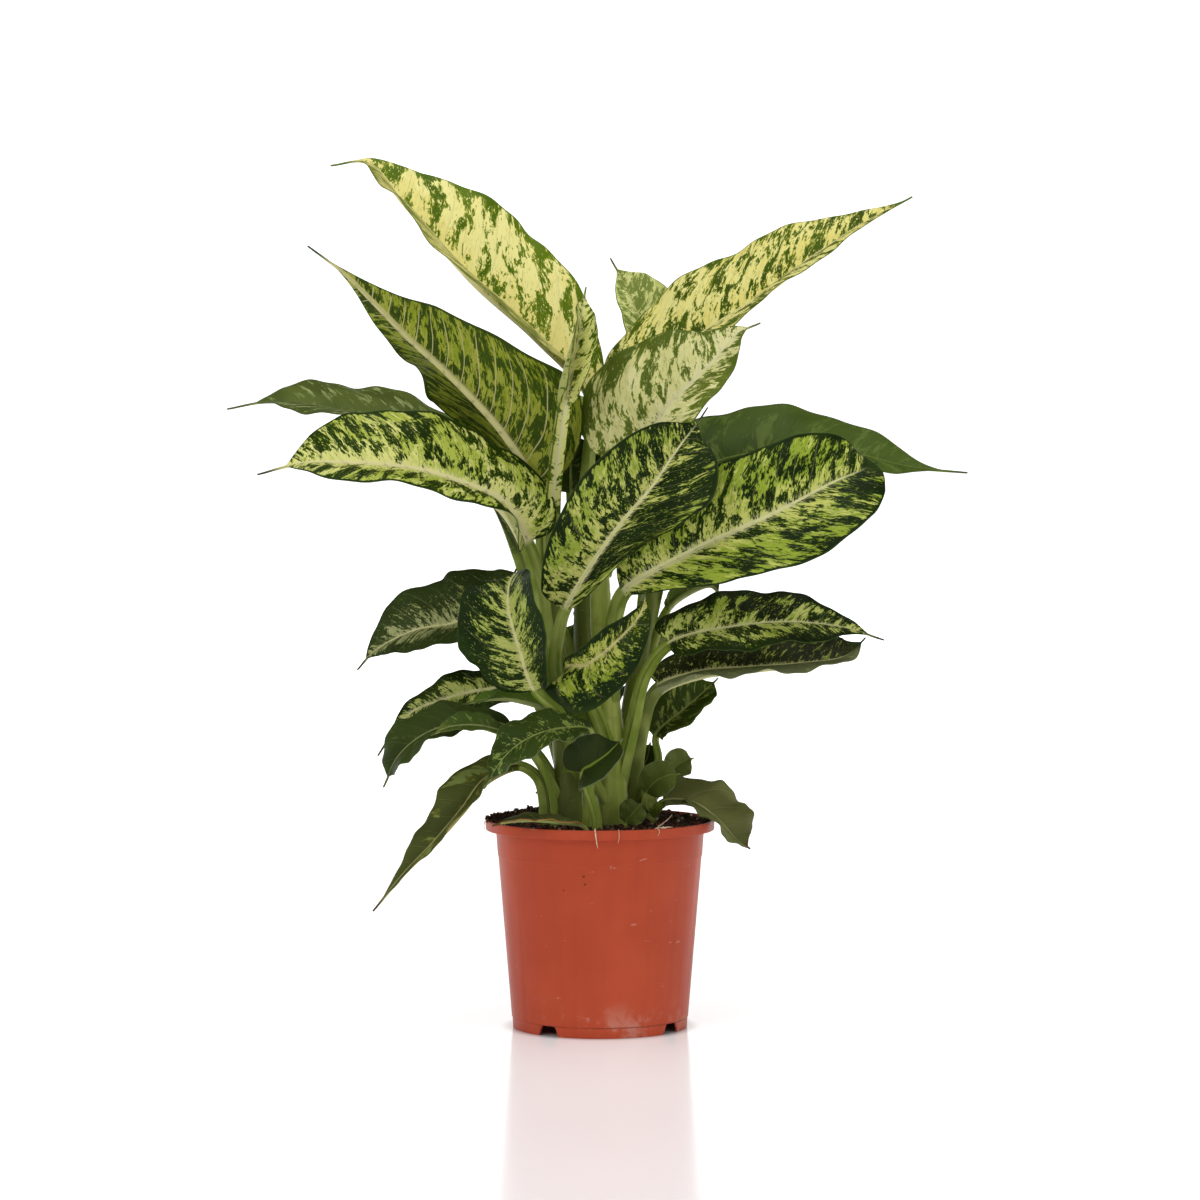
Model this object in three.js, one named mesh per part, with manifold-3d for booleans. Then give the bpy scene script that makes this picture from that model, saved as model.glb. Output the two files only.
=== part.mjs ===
// A dieffenbachia in a plastic nursery pot: pot, soil, canes, and one solid for each leaf with its stalk.
// Millimetres, +Z up, the pot's centre foot on the floor at the origin, -Y is the plant's front.
import * as THREE from 'three';
import { mergeVertices } from 'three/addons/utils/BufferGeometryUtils.js';
import Module from 'manifold-3d';

// Pot
const POT = {
  height: 172,
  rimRadius: 95,
  rimHeight: 8.2,
  neckRadius: 86.2,
  footRadius: 72.2,
  skirtHeight: 8.6,
  skirtStep: 0.9,
  floorUnderside: 8.6,
  wall: 1.6,
  centreFootRadius: 14,
  segments: 32,
};
const DRAIN = { count: 8, radius: 4.5, ringRadius: 46, sides: 8 };
const NOTCH = { count: 4, widthBottom: 20, widthTop: 13.6, height: 8.3, firstAngle: -36 };

// Soil
const SOIL = {
  level: 169.2,
  tilt: 1.5,
  moundHeight: 6,
  moundX: -50,
  moundY: 58,
  moundSpread: 26,
  lump: 0.9,
  bottomGap: 0.3,
  wallGap: 0.3,
  rings: [20, 40, 58, 73, 83],
  segments: 24,
};

// Gap kept where two solids meet
const GAP = 0.3;
const ROOT_DEPTH = 148;

const soilRadius = POT.rimRadius - POT.wall - 1 - SOIL.wallGap - 0.6;
const CANE_SIDES = 10;
const CANE_STEPS = 9;

const TERRACOTTA = new THREE.Color(0.56, 0.12, 0.055);
const PEAT = new THREE.Color(0.035, 0.018, 0.01);
const CANE_GREEN = new THREE.Color(0.3, 0.38, 0.12);

// Each cane is a path from inside the soil upwards, with its radius at the soil and at the top.
const CANES = {
  cane_left: {
    path: [[-25, -15, ROOT_DEPTH], [-27, -12, 215], [-34, -7, 285], [-40, -5, 345], [-38, -2, 410]],
    radius: [12.5, 7.5],
  },
  cane_centre: {
    path: [[10, -18, ROOT_DEPTH], [10, -14, 230], [3, -10, 300], [0, -8, 360], [-2, -5, 432]],
    radius: [13, 7],
  },
  cane_rear_left: {
    path: [[-12, 27, ROOT_DEPTH], [-13, 28, 240], [-14, 28, 319], [-15, 27, 405]],
    radius: [11.5, 6.5],
  },
  cane_rear_right: {
    path: [[24, 18, ROOT_DEPTH], [24, 22, 240], [34, 27, 310], [46, 33, 372]],
    radius: [11, 6],
  },
  cane_small_right: {
    path: [[41, 0, ROOT_DEPTH], [42, 1, 185], [44, 2, 216]],
    radius: [7, 4.5],
  },
};

// What most leaves share; a leaf's own entry overrides it.
// face is the way the upper side looks, fold the angle that each half rises from flat, curl how much
// more it turns by the edge, wide the widest place from blade base (0) to tip (1), lobes how far the
// two base lobes reach back, halves the width of each half against the other, all in degrees or ratios.
const TYPICAL = {
  fold: 30,
  foldTip: null,
  curl: 0,
  faceTip: null,
  wide: 0.42,
  roundness: 1.6,
  shoulder: 2.2,
  taper: 1.15,
  tail: 0.07,
  lobes: [-0.3, -0.3],
  sweep: 0.4,
  halves: [1, 1],
  wave: 3,
  waves: 3.4,
  phase: 0,
  rootRadius: 6.5,
  ribRadius: 4,
  thickness: 0.9,
  small: false,
};

const LEAVES = {
  leaf_top_left: {
    cane: 'cane_centre', from: 385,
    stalk: [[-10, 2, 425], [-7, 8, 475]],
    blade: [
      [-6, 8, 522], [-49, -2, 570], [-102, -5, 616], [-160, 5, 680], [-192, 15, 715],
      [-223, 20, 713],
    ],
    width: 134, face: [0.54, -0.54, 0.65], fold: 31, foldTip: 31, shoulder: 1.75, taper: 1.15, wide: 0.42,
    lobes: [-0.2, -0.5], halves: [1.23, 1.03],
  },
  leaf_top_right: {
    cane: 'cane_centre', from: 400,
    stalk: [[4, 12, 440], [8, 26, 486]],
    blade: [[20, 34, 524], [67, 33, 562], [121, 22, 598], [171, 14, 634], [218, 10, 665], [258, 15, 687]],
    width: 118, face: [-0.49, -0.45, 0.74], fold: 20, foldTip: 20, shoulder: 1.9, taper: 1.4, wide: 0.31,
    roundness: 1.9, tail: 0.02, lobes: [-0.6, -0.5], halves: [1.1, 0.97], phase: 1,
  },
  leaf_spear: {
    cane: 'cane_left', from: 385,
    stalk: [[-38, -22, 436], [-32, -43, 490]],
    blade: [[-28, -52, 515], [-23, -58, 543], [-17, -56, 572], [-14, -51, 594], [-11, -46, 610]],
    width: 48, face: [0.32, -0.95, 0], fold: 58, curl: 30, shoulder: 1.5, lobes: [0, 0],
    ribRadius: 5, rootRadius: 7, wave: 0.5,
  },
  leaf_pale_centre: {
    cane: 'cane_centre', from: 375,
    stalk: [[10, -26, 412], [20, -38, 444]],
    blade: [
      [34, -46, 473], [54, -55, 511], [74, -60, 532], [94, -60, 552], [111, -55, 572],
      [130, -50, 581],
    ],
    width: 124, face: [-0.49, -0.73, 0.47], fold: 23, shoulder: 1.6, wide: 0.26, roundness: 2.1,
    lobes: [-0.9, -0.9], halves: [1.1, 0.93], phase: 2,
  },
  leaf_small_top_back: {
    cane: 'cane_rear_right', from: 350,
    stalk: [[54, 54, 410], [62, 74, 455]],
    blade: [[72, 88, 502], [52, 98, 550], [33, 105, 592], [17, 104, 626], [9, 100, 640]],
    width: 72, face: [0.32, -0.85, 0.42], shoulder: 2.6, wide: 0.45, lobes: [-1.3, -0.3],
    halves: [0.76, 1.05],
  },
  leaf_dark_centre: {
    cane: 'cane_left', from: 262,
    stalk: [[-38, -36, 300], [-34, -54, 328]],
    blade: [
      [-28, -66, 349], [-6, -75, 387], [19, -93, 422], [41, -103, 448], [62, -109, 479], [78, -110, 500],
      [86, -106, 512],
    ],
    width: 90, face: [0, -1, 0.1], fold: 22, shoulder: 2.4, wide: 0.52, roundness: 1.7,
    lobes: [-1.2, 2.4], halves: [1.08, 1], ribRadius: 4.5, phase: 3,
  },
  leaf_big_right: {
    cane: 'cane_centre', from: 262,
    stalk: [[8, -36, 318], [11, -50, 343]],
    blade: [
      [19, -61, 363], [73, -85, 396], [141, -95, 428], [187, -90, 452], [212, -78, 462],
      [225, -62, 468],
    ],
    width: 114, face: [-0.1, -0.93, 0.35], fold: 15, foldTip: 8, shoulder: 2.5, taper: 0.85, tail: 0.02,
    wide: 0.5, lobes: [-1, 1], halves: [0.95, 0.92], ribRadius: 5.5, phase: 4,
  },
  leaf_back_right: {
    cane: 'cane_rear_right', from: 330,
    stalk: [[54, 46, 395], [64, 62, 432]],
    blade: [
      [77, 75, 456], [111, 90, 471], [160, 100, 477], [216, 110, 474], [264, 113, 463],
      [314, 112, 458],
    ],
    width: 112, face: [0, -0.5, 0.86], fold: 12, shoulder: 2.3, taper: 1.8, wide: 0.34, roundness: 2,
    lobes: [-1, -0.3], sweep: 0.2, halves: [1.04, 1], phase: 5,
  },
  leaf_upper_left: {
    cane: 'cane_left', from: 330,
    stalk: [[-46, 2, 378], [-47, -2, 415]],
    blade: [
      [-50, -8, 447], [-80, -12, 495], [-124, -10, 541], [-157, -5, 570], [-185, 0, 598], [-213, 5, 625],
      [-241, 10, 646],
    ],
    width: 132, face: [0.52, 0.68, 0.51], fold: 24, foldTip: 20, shoulder: 1.2, taper: 1.35, wide: 0.2,
    roundness: 1.8, lobes: [-0.1, 0.8], halves: [1.1, 1.3], ribRadius: 3.5, wave: 8, waves: 1.8,
    phase: 0.81,
  },
  leaf_mid_left: {
    cane: 'cane_left', from: 250,
    stalk: [[-42, -22, 322], [-49, -30, 370]],
    blade: [
      [-59, -35, 402], [-79, -40, 434], [-113, -50, 451], [-156, -58, 463], [-203, -60, 467],
      [-243, -52, 467], [-279, -45, 458],
    ],
    width: 110, face: [0.09, -0.66, 0.75], fold: 23, shoulder: 2.4, taper: 1, tail: 0.1, wide: 0.52,
    roundness: 1.9, lobes: [-1.8, -1.2], halves: [0.65, 0.97], ribRadius: 5.5, phase: 2.5,
  },
  leaf_back_left: {
    cane: 'cane_left', from: 262,
    stalk: [[-48, 12, 318], [-56, 14, 355]],
    blade: [
      [-67, 17, 393], [-91, 25, 444], [-141, 40, 491], [-217, 50, 511], [-278, 55, 518],
      [-313, 55, 512],
    ],
    width: 96, face: [0.41, -0.31, 0.86], fold: 13, shoulder: 2.6, tail: 0.08, wide: 0.58, roundness: 1.4,
    halves: [1.04, 1.04], phase: 3.5, waves: 4.4,
  },
  leaf_torn_left: {
    cane: 'cane_left', from: 232,
    stalk: [[-44, -10, 290], [-50, -4, 330]],
    blade: [
      [-62, 0, 355], [-90, -3, 347], [-123, -5, 334], [-152, -5, 329], [-187, 0, 311],
      [-201, 0, 296],
    ],
    width: 84, face: [-0.27, -0.69, 0.67], fold: 20, wide: 0.38, lobes: [-0.3, -1], halves: [0.8, 1.04],
    phase: 4.5,
  },
  leaf_round_left: {
    cane: 'cane_left', from: 196,
    stalk: [[-24, -40, 240], [-36, -62, 266]],
    blade: [[-53, -75, 284], [-64, -90, 317], [-73, -95, 350], [-73, -85, 369], [-68, -65, 382]],
    width: 90, face: [-0.47, -0.88, 0.1], fold: 35, phase: 5.5,
  },
  leaf_front_centre: {
    cane: 'cane_centre', from: 215,
    stalk: [[-1, -42, 255], [-12, -66, 280]],
    blade: [
      [-26, -85, 303], [-12, -96, 306], [0, -102, 314], [15, -106, 327], [31, -102, 345],
      [39, -90, 367],
    ],
    width: 78, face: [0.1, -0.97, -0.2], fold: 32, shoulder: 1.6, taper: 1.4, wide: 0.36,
    lobes: [-0.4, -2.4], halves: [0.52, 0.86], phase: 0.5,
  },
  leaf_lower_right: {
    cane: 'cane_centre', from: 195,
    stalk: [[24, -26, 250], [36, -32, 295]],
    blade: [[56, -36, 320], [109, -45, 334], [155, -50, 338], [200, -45, 333], [232, -40, 323]],
    width: 69, face: [-0.01, -0.63, 0.78], fold: 9, shoulder: 1.9, wide: 0.36, roundness: 2.3,
    lobes: [-1, -0.3], halves: [1.07, 1], phase: 1.2,
  },
  leaf_dark_lower_right: {
    cane: 'cane_rear_right', from: 177,
    stalk: [[27, 2, 222], [33, -8, 254], [38, -16, 272]],
    blade: [
      [47, -21, 284], [82, -25, 296], [126, -28, 300], [164, -28, 303], [202, -25, 309],
      [218, -20, 324],
    ],
    width: 66, face: [-0.18, -0.42, 0.89], fold: 15, shoulder: 3.4, taper: 0.9, tail: 0.03, wide: 0.46,
    roundness: 2.3, lobes: [-0.9, 0.2], halves: [1.12, 0.6], ribRadius: 5, rootRadius: 7, phase: 2.2,
  },
  leaf_small_right: {
    cane: 'cane_small_right', from: 190,
    stalk: [[48, 8, 222]],
    blade: [[46, 12, 240], [69, 5, 262], [88, 5, 279], [98, 8, 289]],
    width: 54, face: [-0.3, -0.86, 0.41], curl: 35, halves: [1, 1.22], ribRadius: 2.5, rootRadius: 3.5,
    small: true,
  },
  leaf_tiny_back: {
    cane: 'cane_small_right', from: 178,
    stalk: [[34, 16, 196]],
    blade: [[36, 22, 211], [40, 24, 223], [42, 25, 234]],
    width: 24, face: [0, -0.98, 0.21], ribRadius: 1.8, rootRadius: 2.5, wave: 0.8, small: true,
  },
  leaf_tiny_right: {
    cane: 'cane_small_right', from: 185,
    stalk: [[52, 3, 198]],
    blade: [[57, 7, 207], [66, 10, 217], [78, 10, 222]],
    width: 28, face: [0, -0.98, 0.21], ribRadius: 1.8, rootRadius: 2.5, wave: 0.8, small: true,
  },
  leaf_tiny_front: {
    cane: 'cane_small_right', from: 176,
    stalk: [[36, -16, 184]],
    blade: [[38, -22, 196], [46, -28, 206], [56, -30, 211], [66, -28, 212]],
    width: 32, face: [0, -0.98, 0.21], ribRadius: 1.8, rootRadius: 2.5, wave: 1, small: true,
  },
  leaf_droop_right: {
    cane: 'cane_small_right', from: 175,
    stalk: [[46, -9, 183]],
    blade: [
      [52, -12, 188], [69, -15, 189], [82, -20, 185], [98, -24, 173], [113, -24, 157],
      [124, -22, 150],
    ],
    width: 74, face: [0.36, -0.47, 0.81], fold: 20, shoulder: 3, taper: 0.8, tail: 0.03, wide: 0.44,
    roundness: 2.1, halves: [0.89, 0.4], ribRadius: 3, rootRadius: 3.5, small: true,
  },
  leaf_at_soil: {
    stalk: [[20, -46, ROOT_DEPTH], [20, -47, 168]],
    blade: [[21, -48, 174], [27, -50, 182], [34, -50, 190]],
    width: 26, face: [0, -0.91, 0.41], ribRadius: 1.6, rootRadius: 2, wave: 1, small: true,
  },
  leaf_round_front: {
    stalk: [[-3, -60, ROOT_DEPTH], [-5, -64, 182]],
    blade: [[-14, -72, 217], [-6, -81, 224], [6, -85, 233], [18, -79, 245]],
    width: 56, face: [-0.5, -0.82, 0.25], shoulder: 2.4, wide: 0.28, roundness: 3, lobes: [-0.5, -0.5],
    halves: [0.87, 0.78], ribRadius: 3, rootRadius: 4, wave: 1.5, small: true,
  },
  leaf_low_front: {
    stalk: [[-9, -40, ROOT_DEPTH], [-8, -46, 190], [-5, -58, 230]],
    blade: [[-8, -66, 251], [-31, -75, 253], [-55, -85, 247], [-75, -88, 233], [-94, -85, 205]],
    width: 48, face: [-0.36, -0.64, 0.68], fold: 12, ribRadius: 3, rootRadius: 4, small: true,
  },
  leaf_bright_tip: {
    cane: 'cane_centre', from: 180,
    stalk: [[-8, -32, 218]],
    blade: [[-14, -40, 246], [-34, -48, 263], [-60, -52, 273], [-83, -52, 276], [-113, -50, 271]],
    width: 44, face: [0.21, 0.7, 0.68], faceTip: [0.19, -0.5, 0.85], ribRadius: 3, rootRadius: 4,
    small: true,
  },
  leaf_marbled_left: {
    cane: 'cane_left', from: 205,
    stalk: [[-42, -2, 250]],
    blade: [
      [-60, 4, 279], [-98, -3, 279], [-131, -8, 271], [-154, -8, 262], [-172, -6, 243],
      [-184, -5, 225],
    ],
    width: 82, face: [-0.25, -0.77, 0.59], fold: 12, shoulder: 1.35, taper: 1.3, wide: 0.33,
    halves: [0.62, 0.54], phase: 3.2,
  },
  leaf_dark_low_left: {
    cane: 'cane_left', from: 185,
    stalk: [[-48, -24, 226]],
    blade: [[-72, -33, 250], [-102, -43, 256], [-140, -51, 248], [-164, -52, 229], [-177, -50, 203]],
    width: 56, face: [-0.36, -0.5, 0.79], fold: 15, shoulder: 2.8, taper: 1, wide: 0.5,
    lobes: [0.9, -0.3], halves: [0.93, 1],
    phase: 4.2,
  },
  leaf_light_small: {
    stalk: [[-35, -38, ROOT_DEPTH], [-38, -41, 200], [-54, -47, 234]],
    blade: [[-75, -57, 247], [-101, -71, 255], [-123, -79, 254], [-137, -81, 248]],
    width: 25, face: [-0.03, -0.64, 0.77], ribRadius: 2, rootRadius: 3, wave: 1, small: true,
  },
  leaf_long_droop: {
    stalk: [[-43, -20, ROOT_DEPTH], [-43, -20, 188], [-50, -22, 210]],
    blade: [
      [-67, -28, 220], [-95, -38, 208], [-113, -46, 185], [-137, -50, 157], [-159, -48, 134],
      [-186, -44, 101],
    ],
    width: 58, face: [-0.54, -0.64, 0.54], fold: 32, foldTip: 30, shoulder: 1.4, wide: 0.3,
    halves: [0.6, 0.82], ribRadius: 3.5, rootRadius: 6, phase: 5.2,
  },
  leaf_fading_rim: {
    stalk: [[-8, -68, ROOT_DEPTH], [-9, -71, 168]],
    blade: [[-14, -76, 175], [-31, -81, 178], [-55, -84, 180], [-75, -88, 179], [-87, -90, 176]],
    width: 26, face: [0, -0.12, 0.99], fold: 15, ribRadius: 1.5, rootRadius: 2, wave: 1, small: true,
  },
  leaf_tiny_left: {
    stalk: [[-34, 28, ROOT_DEPTH], [-36, 29, 176]],
    blade: [[-38, 31, 187], [-46, 34, 192], [-54, 35, 191]],
    width: 16, face: [0, -0.51, 0.86], ribRadius: 1.2, rootRadius: 1.5, wave: 0.5, small: true,
  },
  leaf_inner_high: {
    cane: 'cane_rear_left', from: 370,
    stalk: [[-22, 32, 415]],
    blade: [[-24, 33, 442], [-24, 30, 469], [-20, 30, 494]],
    width: 56, face: [0, -0.95, 0.32], small: true,
  },
  leaf_under_right: {
    cane: 'cane_rear_right', from: 262,
    stalk: [[44, 34, 320]],
    blade: [[55, 37, 346], [76, 40, 360], [93, 40, 364], [102, 38, 355]],
    width: 45, face: [-0.1, 0.26, 0.96], ribRadius: 3, rootRadius: 4, small: true,
  },
  leaf_inner_low: {
    cane: 'cane_rear_left', from: 235,
    stalk: [[-20, 46, 276]],
    blade: [[-24, 55, 296], [-34, 64, 308], [-46, 74, 319]],
    width: 60, face: [0, -0.53, 0.85], ribRadius: 3, rootRadius: 4, small: true,
  },
  leaf_rear_high: {
    cane: 'cane_rear_left', from: 350,
    stalk: [[-8, 48, 415], [0, 62, 450]],
    blade: [[5, 82, 477], [14, 130, 503], [18, 190, 503], [20, 245, 481]],
    width: 105, face: [0, 0.2, 0.98], phase: 1.8,
  },
  leaf_rear_right: {
    cane: 'cane_rear_right', from: 300,
    stalk: [[38, 62, 365], [44, 78, 405]],
    blade: [[52, 100, 430], [80, 145, 440], [110, 190, 430], [133, 228, 400]],
    width: 100, face: [0.1, 0.2, 0.98], phase: 2.8,
  },
  leaf_rear_left: {
    cane: 'cane_rear_left', from: 275,
    stalk: [[-28, 46, 318], [-37, 60, 338]],
    blade: [[-50, 76, 350], [-77, 120, 350], [-100, 165, 331], [-116, 200, 298]],
    width: 85, face: [-0.19, 0.19, 0.96], phase: 3.8,
  },
  leaf_rear_low_right: {
    cane: 'cane_rear_right', from: 205,
    stalk: [[30, 44, 255], [33, 58, 282]],
    blade: [[38, 76, 300], [56, 115, 315], [87, 155, 312], [119, 190, 289]],
    width: 80, face: [0.1, 0.2, 0.98], phase: 4.8,
  },
  leaf_rear_low: {
    cane: 'cane_rear_left', from: 180,
    stalk: [[-10, 50, 222]],
    blade: [[-6, 66, 246], [-8, 110, 258], [-16, 150, 246], [-21, 182, 212]],
    width: 75, face: [0, 0.2, 0.98], phase: 5.8,
  },
};

const wasm = await Module();
wasm.setup();

// A closed mesh, given as points and triangles, as a solid for joins and cuts.
function solidFrom(points, triangles) {
  return new wasm.Manifold(new wasm.Mesh({
    numProp: 3,
    vertProperties: new Float32Array(points.flatMap((p) => [p.x, p.y, p.z])),
    triVerts: new Uint32Array(triangles.flat()),
  }));
}

function solidOf(geometry) {
  const bare = geometry.clone();
  bare.deleteAttribute('normal');
  bare.deleteAttribute('uv');
  const merged = mergeVertices(bare, 1e-4);
  return new wasm.Manifold(new wasm.Mesh({
    numProp: 3,
    vertProperties: new Float32Array(merged.attributes.position.array),
    triVerts: new Uint32Array(merged.index.array),
  }));
}

function geometryOf(solid) {
  const { vertProperties, triVerts } = solid.getMesh();
  const geometry = new THREE.BufferGeometry();
  geometry.setAttribute('position', new THREE.BufferAttribute(vertProperties, 3));
  geometry.setIndex(new THREE.BufferAttribute(triVerts, 1));
  geometry.computeVertexNormals();
  return geometry;
}

// The largest separate body of a solid, so that no scrap is left by a cut.
function largestBody(solid) {
  return solid.decompose().reduce((best, body) => (body.volume() > best.volume() ? body : best));
}

const clamp = (t, low, high) => Math.min(high, Math.max(low, t));
const mix = (a, b, t) => a + (b - a) * t;
const radians = THREE.MathUtils.degToRad;
const vector = ([x, y, z]) => new THREE.Vector3(x, y, z);

// A smooth curve through points, read by the length along it.
function alongPath(points) {
  const curve = new THREE.CatmullRomCurve3(points, false, 'centripetal');
  const perSpan = 24;
  const spans = points.length - 1;
  const dense = [];
  for (let i = 0; i <= spans * perSpan; i += 1) dense.push(curve.getPoint(i / (spans * perSpan)));
  const lengths = [0];
  for (let i = 1; i < dense.length; i += 1) {
    lengths.push(lengths[i - 1] + dense[i].distanceTo(dense[i - 1]));
  }
  const total = lengths[lengths.length - 1];
  const at = (length) => {
    const s = clamp(length, 0, total);
    let i = lengths.findIndex((value) => value >= s);
    i = Math.max(1, i);
    const share = (s - lengths[i - 1]) / (lengths[i] - lengths[i - 1]);
    return dense[i - 1].clone().lerp(dense[i], share);
  };
  return { at, total, lengthAtPoint: (index) => lengths[index * perSpan] };
}

// The middle of a cane at a given height.
function caneCentre(cane, height) {
  const path = alongPath(cane.path.map(vector));
  let best = path.at(0);
  for (let s = 0; s <= path.total; s += 0.5) {
    const point = path.at(s);
    if (Math.abs(point.z - height) < Math.abs(best.z - height)) best = point;
  }
  return best;
}

// A cane: rings along its path, a little thicker at each old leaf scar, closed by a low dome on top.
function caneSolid(cane, grow = 0) {
  const path = alongPath(cane.path.map(vector));
  const [rootRadius, topRadius] = cane.radius;
  const points = [];
  const triangles = [];
  for (let i = 0; i <= CANE_STEPS; i += 1) {
    const share = i / CANE_STEPS;
    const centre = path.at(share * path.total);
    const ahead = path.at(share * path.total + 1).sub(path.at(share * path.total - 1)).normalize();
    const side = new THREE.Vector3(1, 0, 0).addScaledVector(ahead, -ahead.x).normalize();
    const front = ahead.clone().cross(side);
    const scar = i % 3 === 2 ? 0.6 : 0;
    const radius = mix(rootRadius, topRadius, share) + scar + grow;
    for (let k = 0; k < CANE_SIDES; k += 1) {
      const angle = (2 * Math.PI * k) / CANE_SIDES;
      points.push(centre.clone()
        .addScaledVector(side, radius * Math.cos(angle))
        .addScaledVector(front, radius * Math.sin(angle)));
    }
    if (i === 0) continue;
    for (let k = 0; k < CANE_SIDES; k += 1) {
      const next = (k + 1) % CANE_SIDES;
      const lower = (i - 1) * CANE_SIDES;
      const upper = i * CANE_SIDES;
      triangles.push([lower + k, lower + next, upper + next], [lower + k, upper + next, upper + k]);
    }
  }
  const bottom = points.push(path.at(0)) - 1;
  const crown = path.at(path.total).add(new THREE.Vector3(0, 0, topRadius * 0.4 + grow));
  const top = points.push(crown) - 1;
  const last = CANE_STEPS * CANE_SIDES;
  for (let k = 0; k < CANE_SIDES; k += 1) {
    const next = (k + 1) % CANE_SIDES;
    triangles.push([bottom, next, k], [top, last + k, last + next]);
  }
  return solidFrom(points, triangles);
}

// Half width of the blade as a share of the widest, from base (u = 0) to tip (u = 1).
function bladeOutline(leaf, u) {
  if (u <= 0) return 0;
  if (u < leaf.wide) return (1 - (1 - u / leaf.wide) ** leaf.roundness) ** (1 / leaf.roundness);
  const towardsTip = clamp((u - leaf.wide) / (1 - leaf.tail - leaf.wide), 0, 1);
  return (1 - towardsTip ** leaf.shoulder) ** leaf.taper;
}

// The rows of points over the upper and lower side of one leaf, from the stalk's root to the tip.
// With stalkOnly the rows stop at the blade's base. grow makes everything that much thicker.
function leafRows(leaf, { stalkOnly = false, grow = 0 } = {}) {
  const root = leaf.cane ? [caneCentre(CANES[leaf.cane], leaf.from)] : [];
  const stalk = [...root, ...leaf.stalk.map(vector)];
  const path = alongPath([...stalk, ...leaf.blade.map(vector)]);
  const baseLength = path.lengthAtPoint(stalk.length);
  const stalkSteps = leaf.small ? 3 : 4;
  const bladeSteps = leaf.small ? 7 : 12;
  const stations = [];
  for (let i = 0; i < stalkSteps; i += 1) stations.push((baseLength * i) / stalkSteps);
  for (let i = 0; i <= (stalkOnly ? 0 : bladeSteps); i += 1) {
    const v = i / bladeSteps;
    const eased = 0.45 * (0.5 - 0.5 * Math.cos(Math.PI * v)) + 0.55 * v;
    stations.push(baseLength + eased * (path.total - baseLength));
  }

  const frames = stations.map((s) => {
    const u = clamp((s - baseLength) / (path.total - baseLength), 0, 1);
    const along = path.at(s + 1.5).sub(path.at(s - 1.5)).normalize();
    const beyond = grow && (s === 0 ? -1 : Number(s >= baseLength));
    const tipFace = vector(leaf.faceTip ?? leaf.face).normalize();
    const face = vector(leaf.face).normalize().lerp(tipFace, u);
    const up = face.addScaledVector(along, -face.dot(along)).normalize();
    return { s, u, centre: path.at(s).addScaledVector(along, beyond), along, up };
  });
  for (let i = frames.findIndex((f) => f.s >= baseLength) - 1; i >= 0; i -= 1) {
    const carried = frames[i + 1].up.clone();
    frames[i].up = carried.addScaledVector(frames[i].along, -carried.dot(frames[i].along)).normalize();
  }

  const columns = [-1, -0.4, 0, 0.4, 1];
  const foldStart = radians(leaf.fold);
  const foldEnd = radians(leaf.foldTip ?? leaf.fold * 0.7);
  const stalkFold = 0.25;
  const top = [];
  const bottom = [];
  for (const { s, u, centre, along, up } of frames) {
    const across = along.clone().cross(up);
    const outline = s <= baseLength ? 0 : bladeOutline(leaf, u);
    const opened = Math.min(1, 1.5 * outline);
    const stalkRadius = s < baseLength
      ? leaf.ribRadius + (leaf.rootRadius - leaf.ribRadius) * (1 - s / baseLength) ** 1.5
      : leaf.ribRadius * (1 - u) ** 0.8;
    const rib = Math.max(0.9, stalkRadius);
    const fold = mix(stalkFold, mix(foldStart, foldEnd, u), opened);
    const curl = radians(leaf.curl) * opened;
    const topRow = [];
    const bottomRow = [];
    columns.forEach((column) => {
      const side = column > 0 ? 1 : -1;
      const half = column > 0 ? 1 : 0;
      const bladeHalf = (leaf.width / 2) * outline * leaf.halves[half];
      const halfWidth = (rib ** 4 + bladeHalf ** 4) ** 0.25 + grow;
      const widest = Math.abs(column);
      const inner = Math.min(1, rib / halfWidth);
      const q = widest === 0 || widest === 1 ? widest : Math.max(widest, inner * 0.8);
      const bend = Math.abs(curl) < 1e-3 ? 1e-3 : curl;
      const outward = (Math.sin(fold + bend * q) - Math.sin(fold)) / bend;
      const lift = (Math.cos(fold) - Math.cos(fold + bend * q)) / bend;
      const angle = fold + bend * q;
      const turn = 2 * Math.PI * leaf.waves * u + leaf.phase + half * 2.1;
      const wave = leaf.wave * q ** 1.5 * outline * Math.sin(turn);
      const reach = leaf.lobes[half] + (leaf.sweep - leaf.lobes[half]) * Math.sqrt(u);
      const shift = reach * halfWidth * q * Math.min(1, 2 * outline);
      const upper = centre.clone()
        .addScaledVector(across, side * halfWidth * outward)
        .addScaledVector(up, halfWidth * lift + wave + grow)
        .addScaledVector(along, shift);
      const below = up.clone()
        .multiplyScalar(Math.cos(angle))
        .addScaledVector(across, -side * Math.sin(angle));
      const bulge = 1.6 * rib * Math.sqrt(Math.max(0, 1 - (halfWidth * q / rib) ** 2));
      topRow.push(upper);
      const depth = leaf.thickness + bulge + 2 * grow;
      bottomRow.push(upper.clone().addScaledVector(below, -depth));
    });
    top.push(topRow);
    bottom.push(bottomRow);
  }
  return { top, bottom };
}

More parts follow.
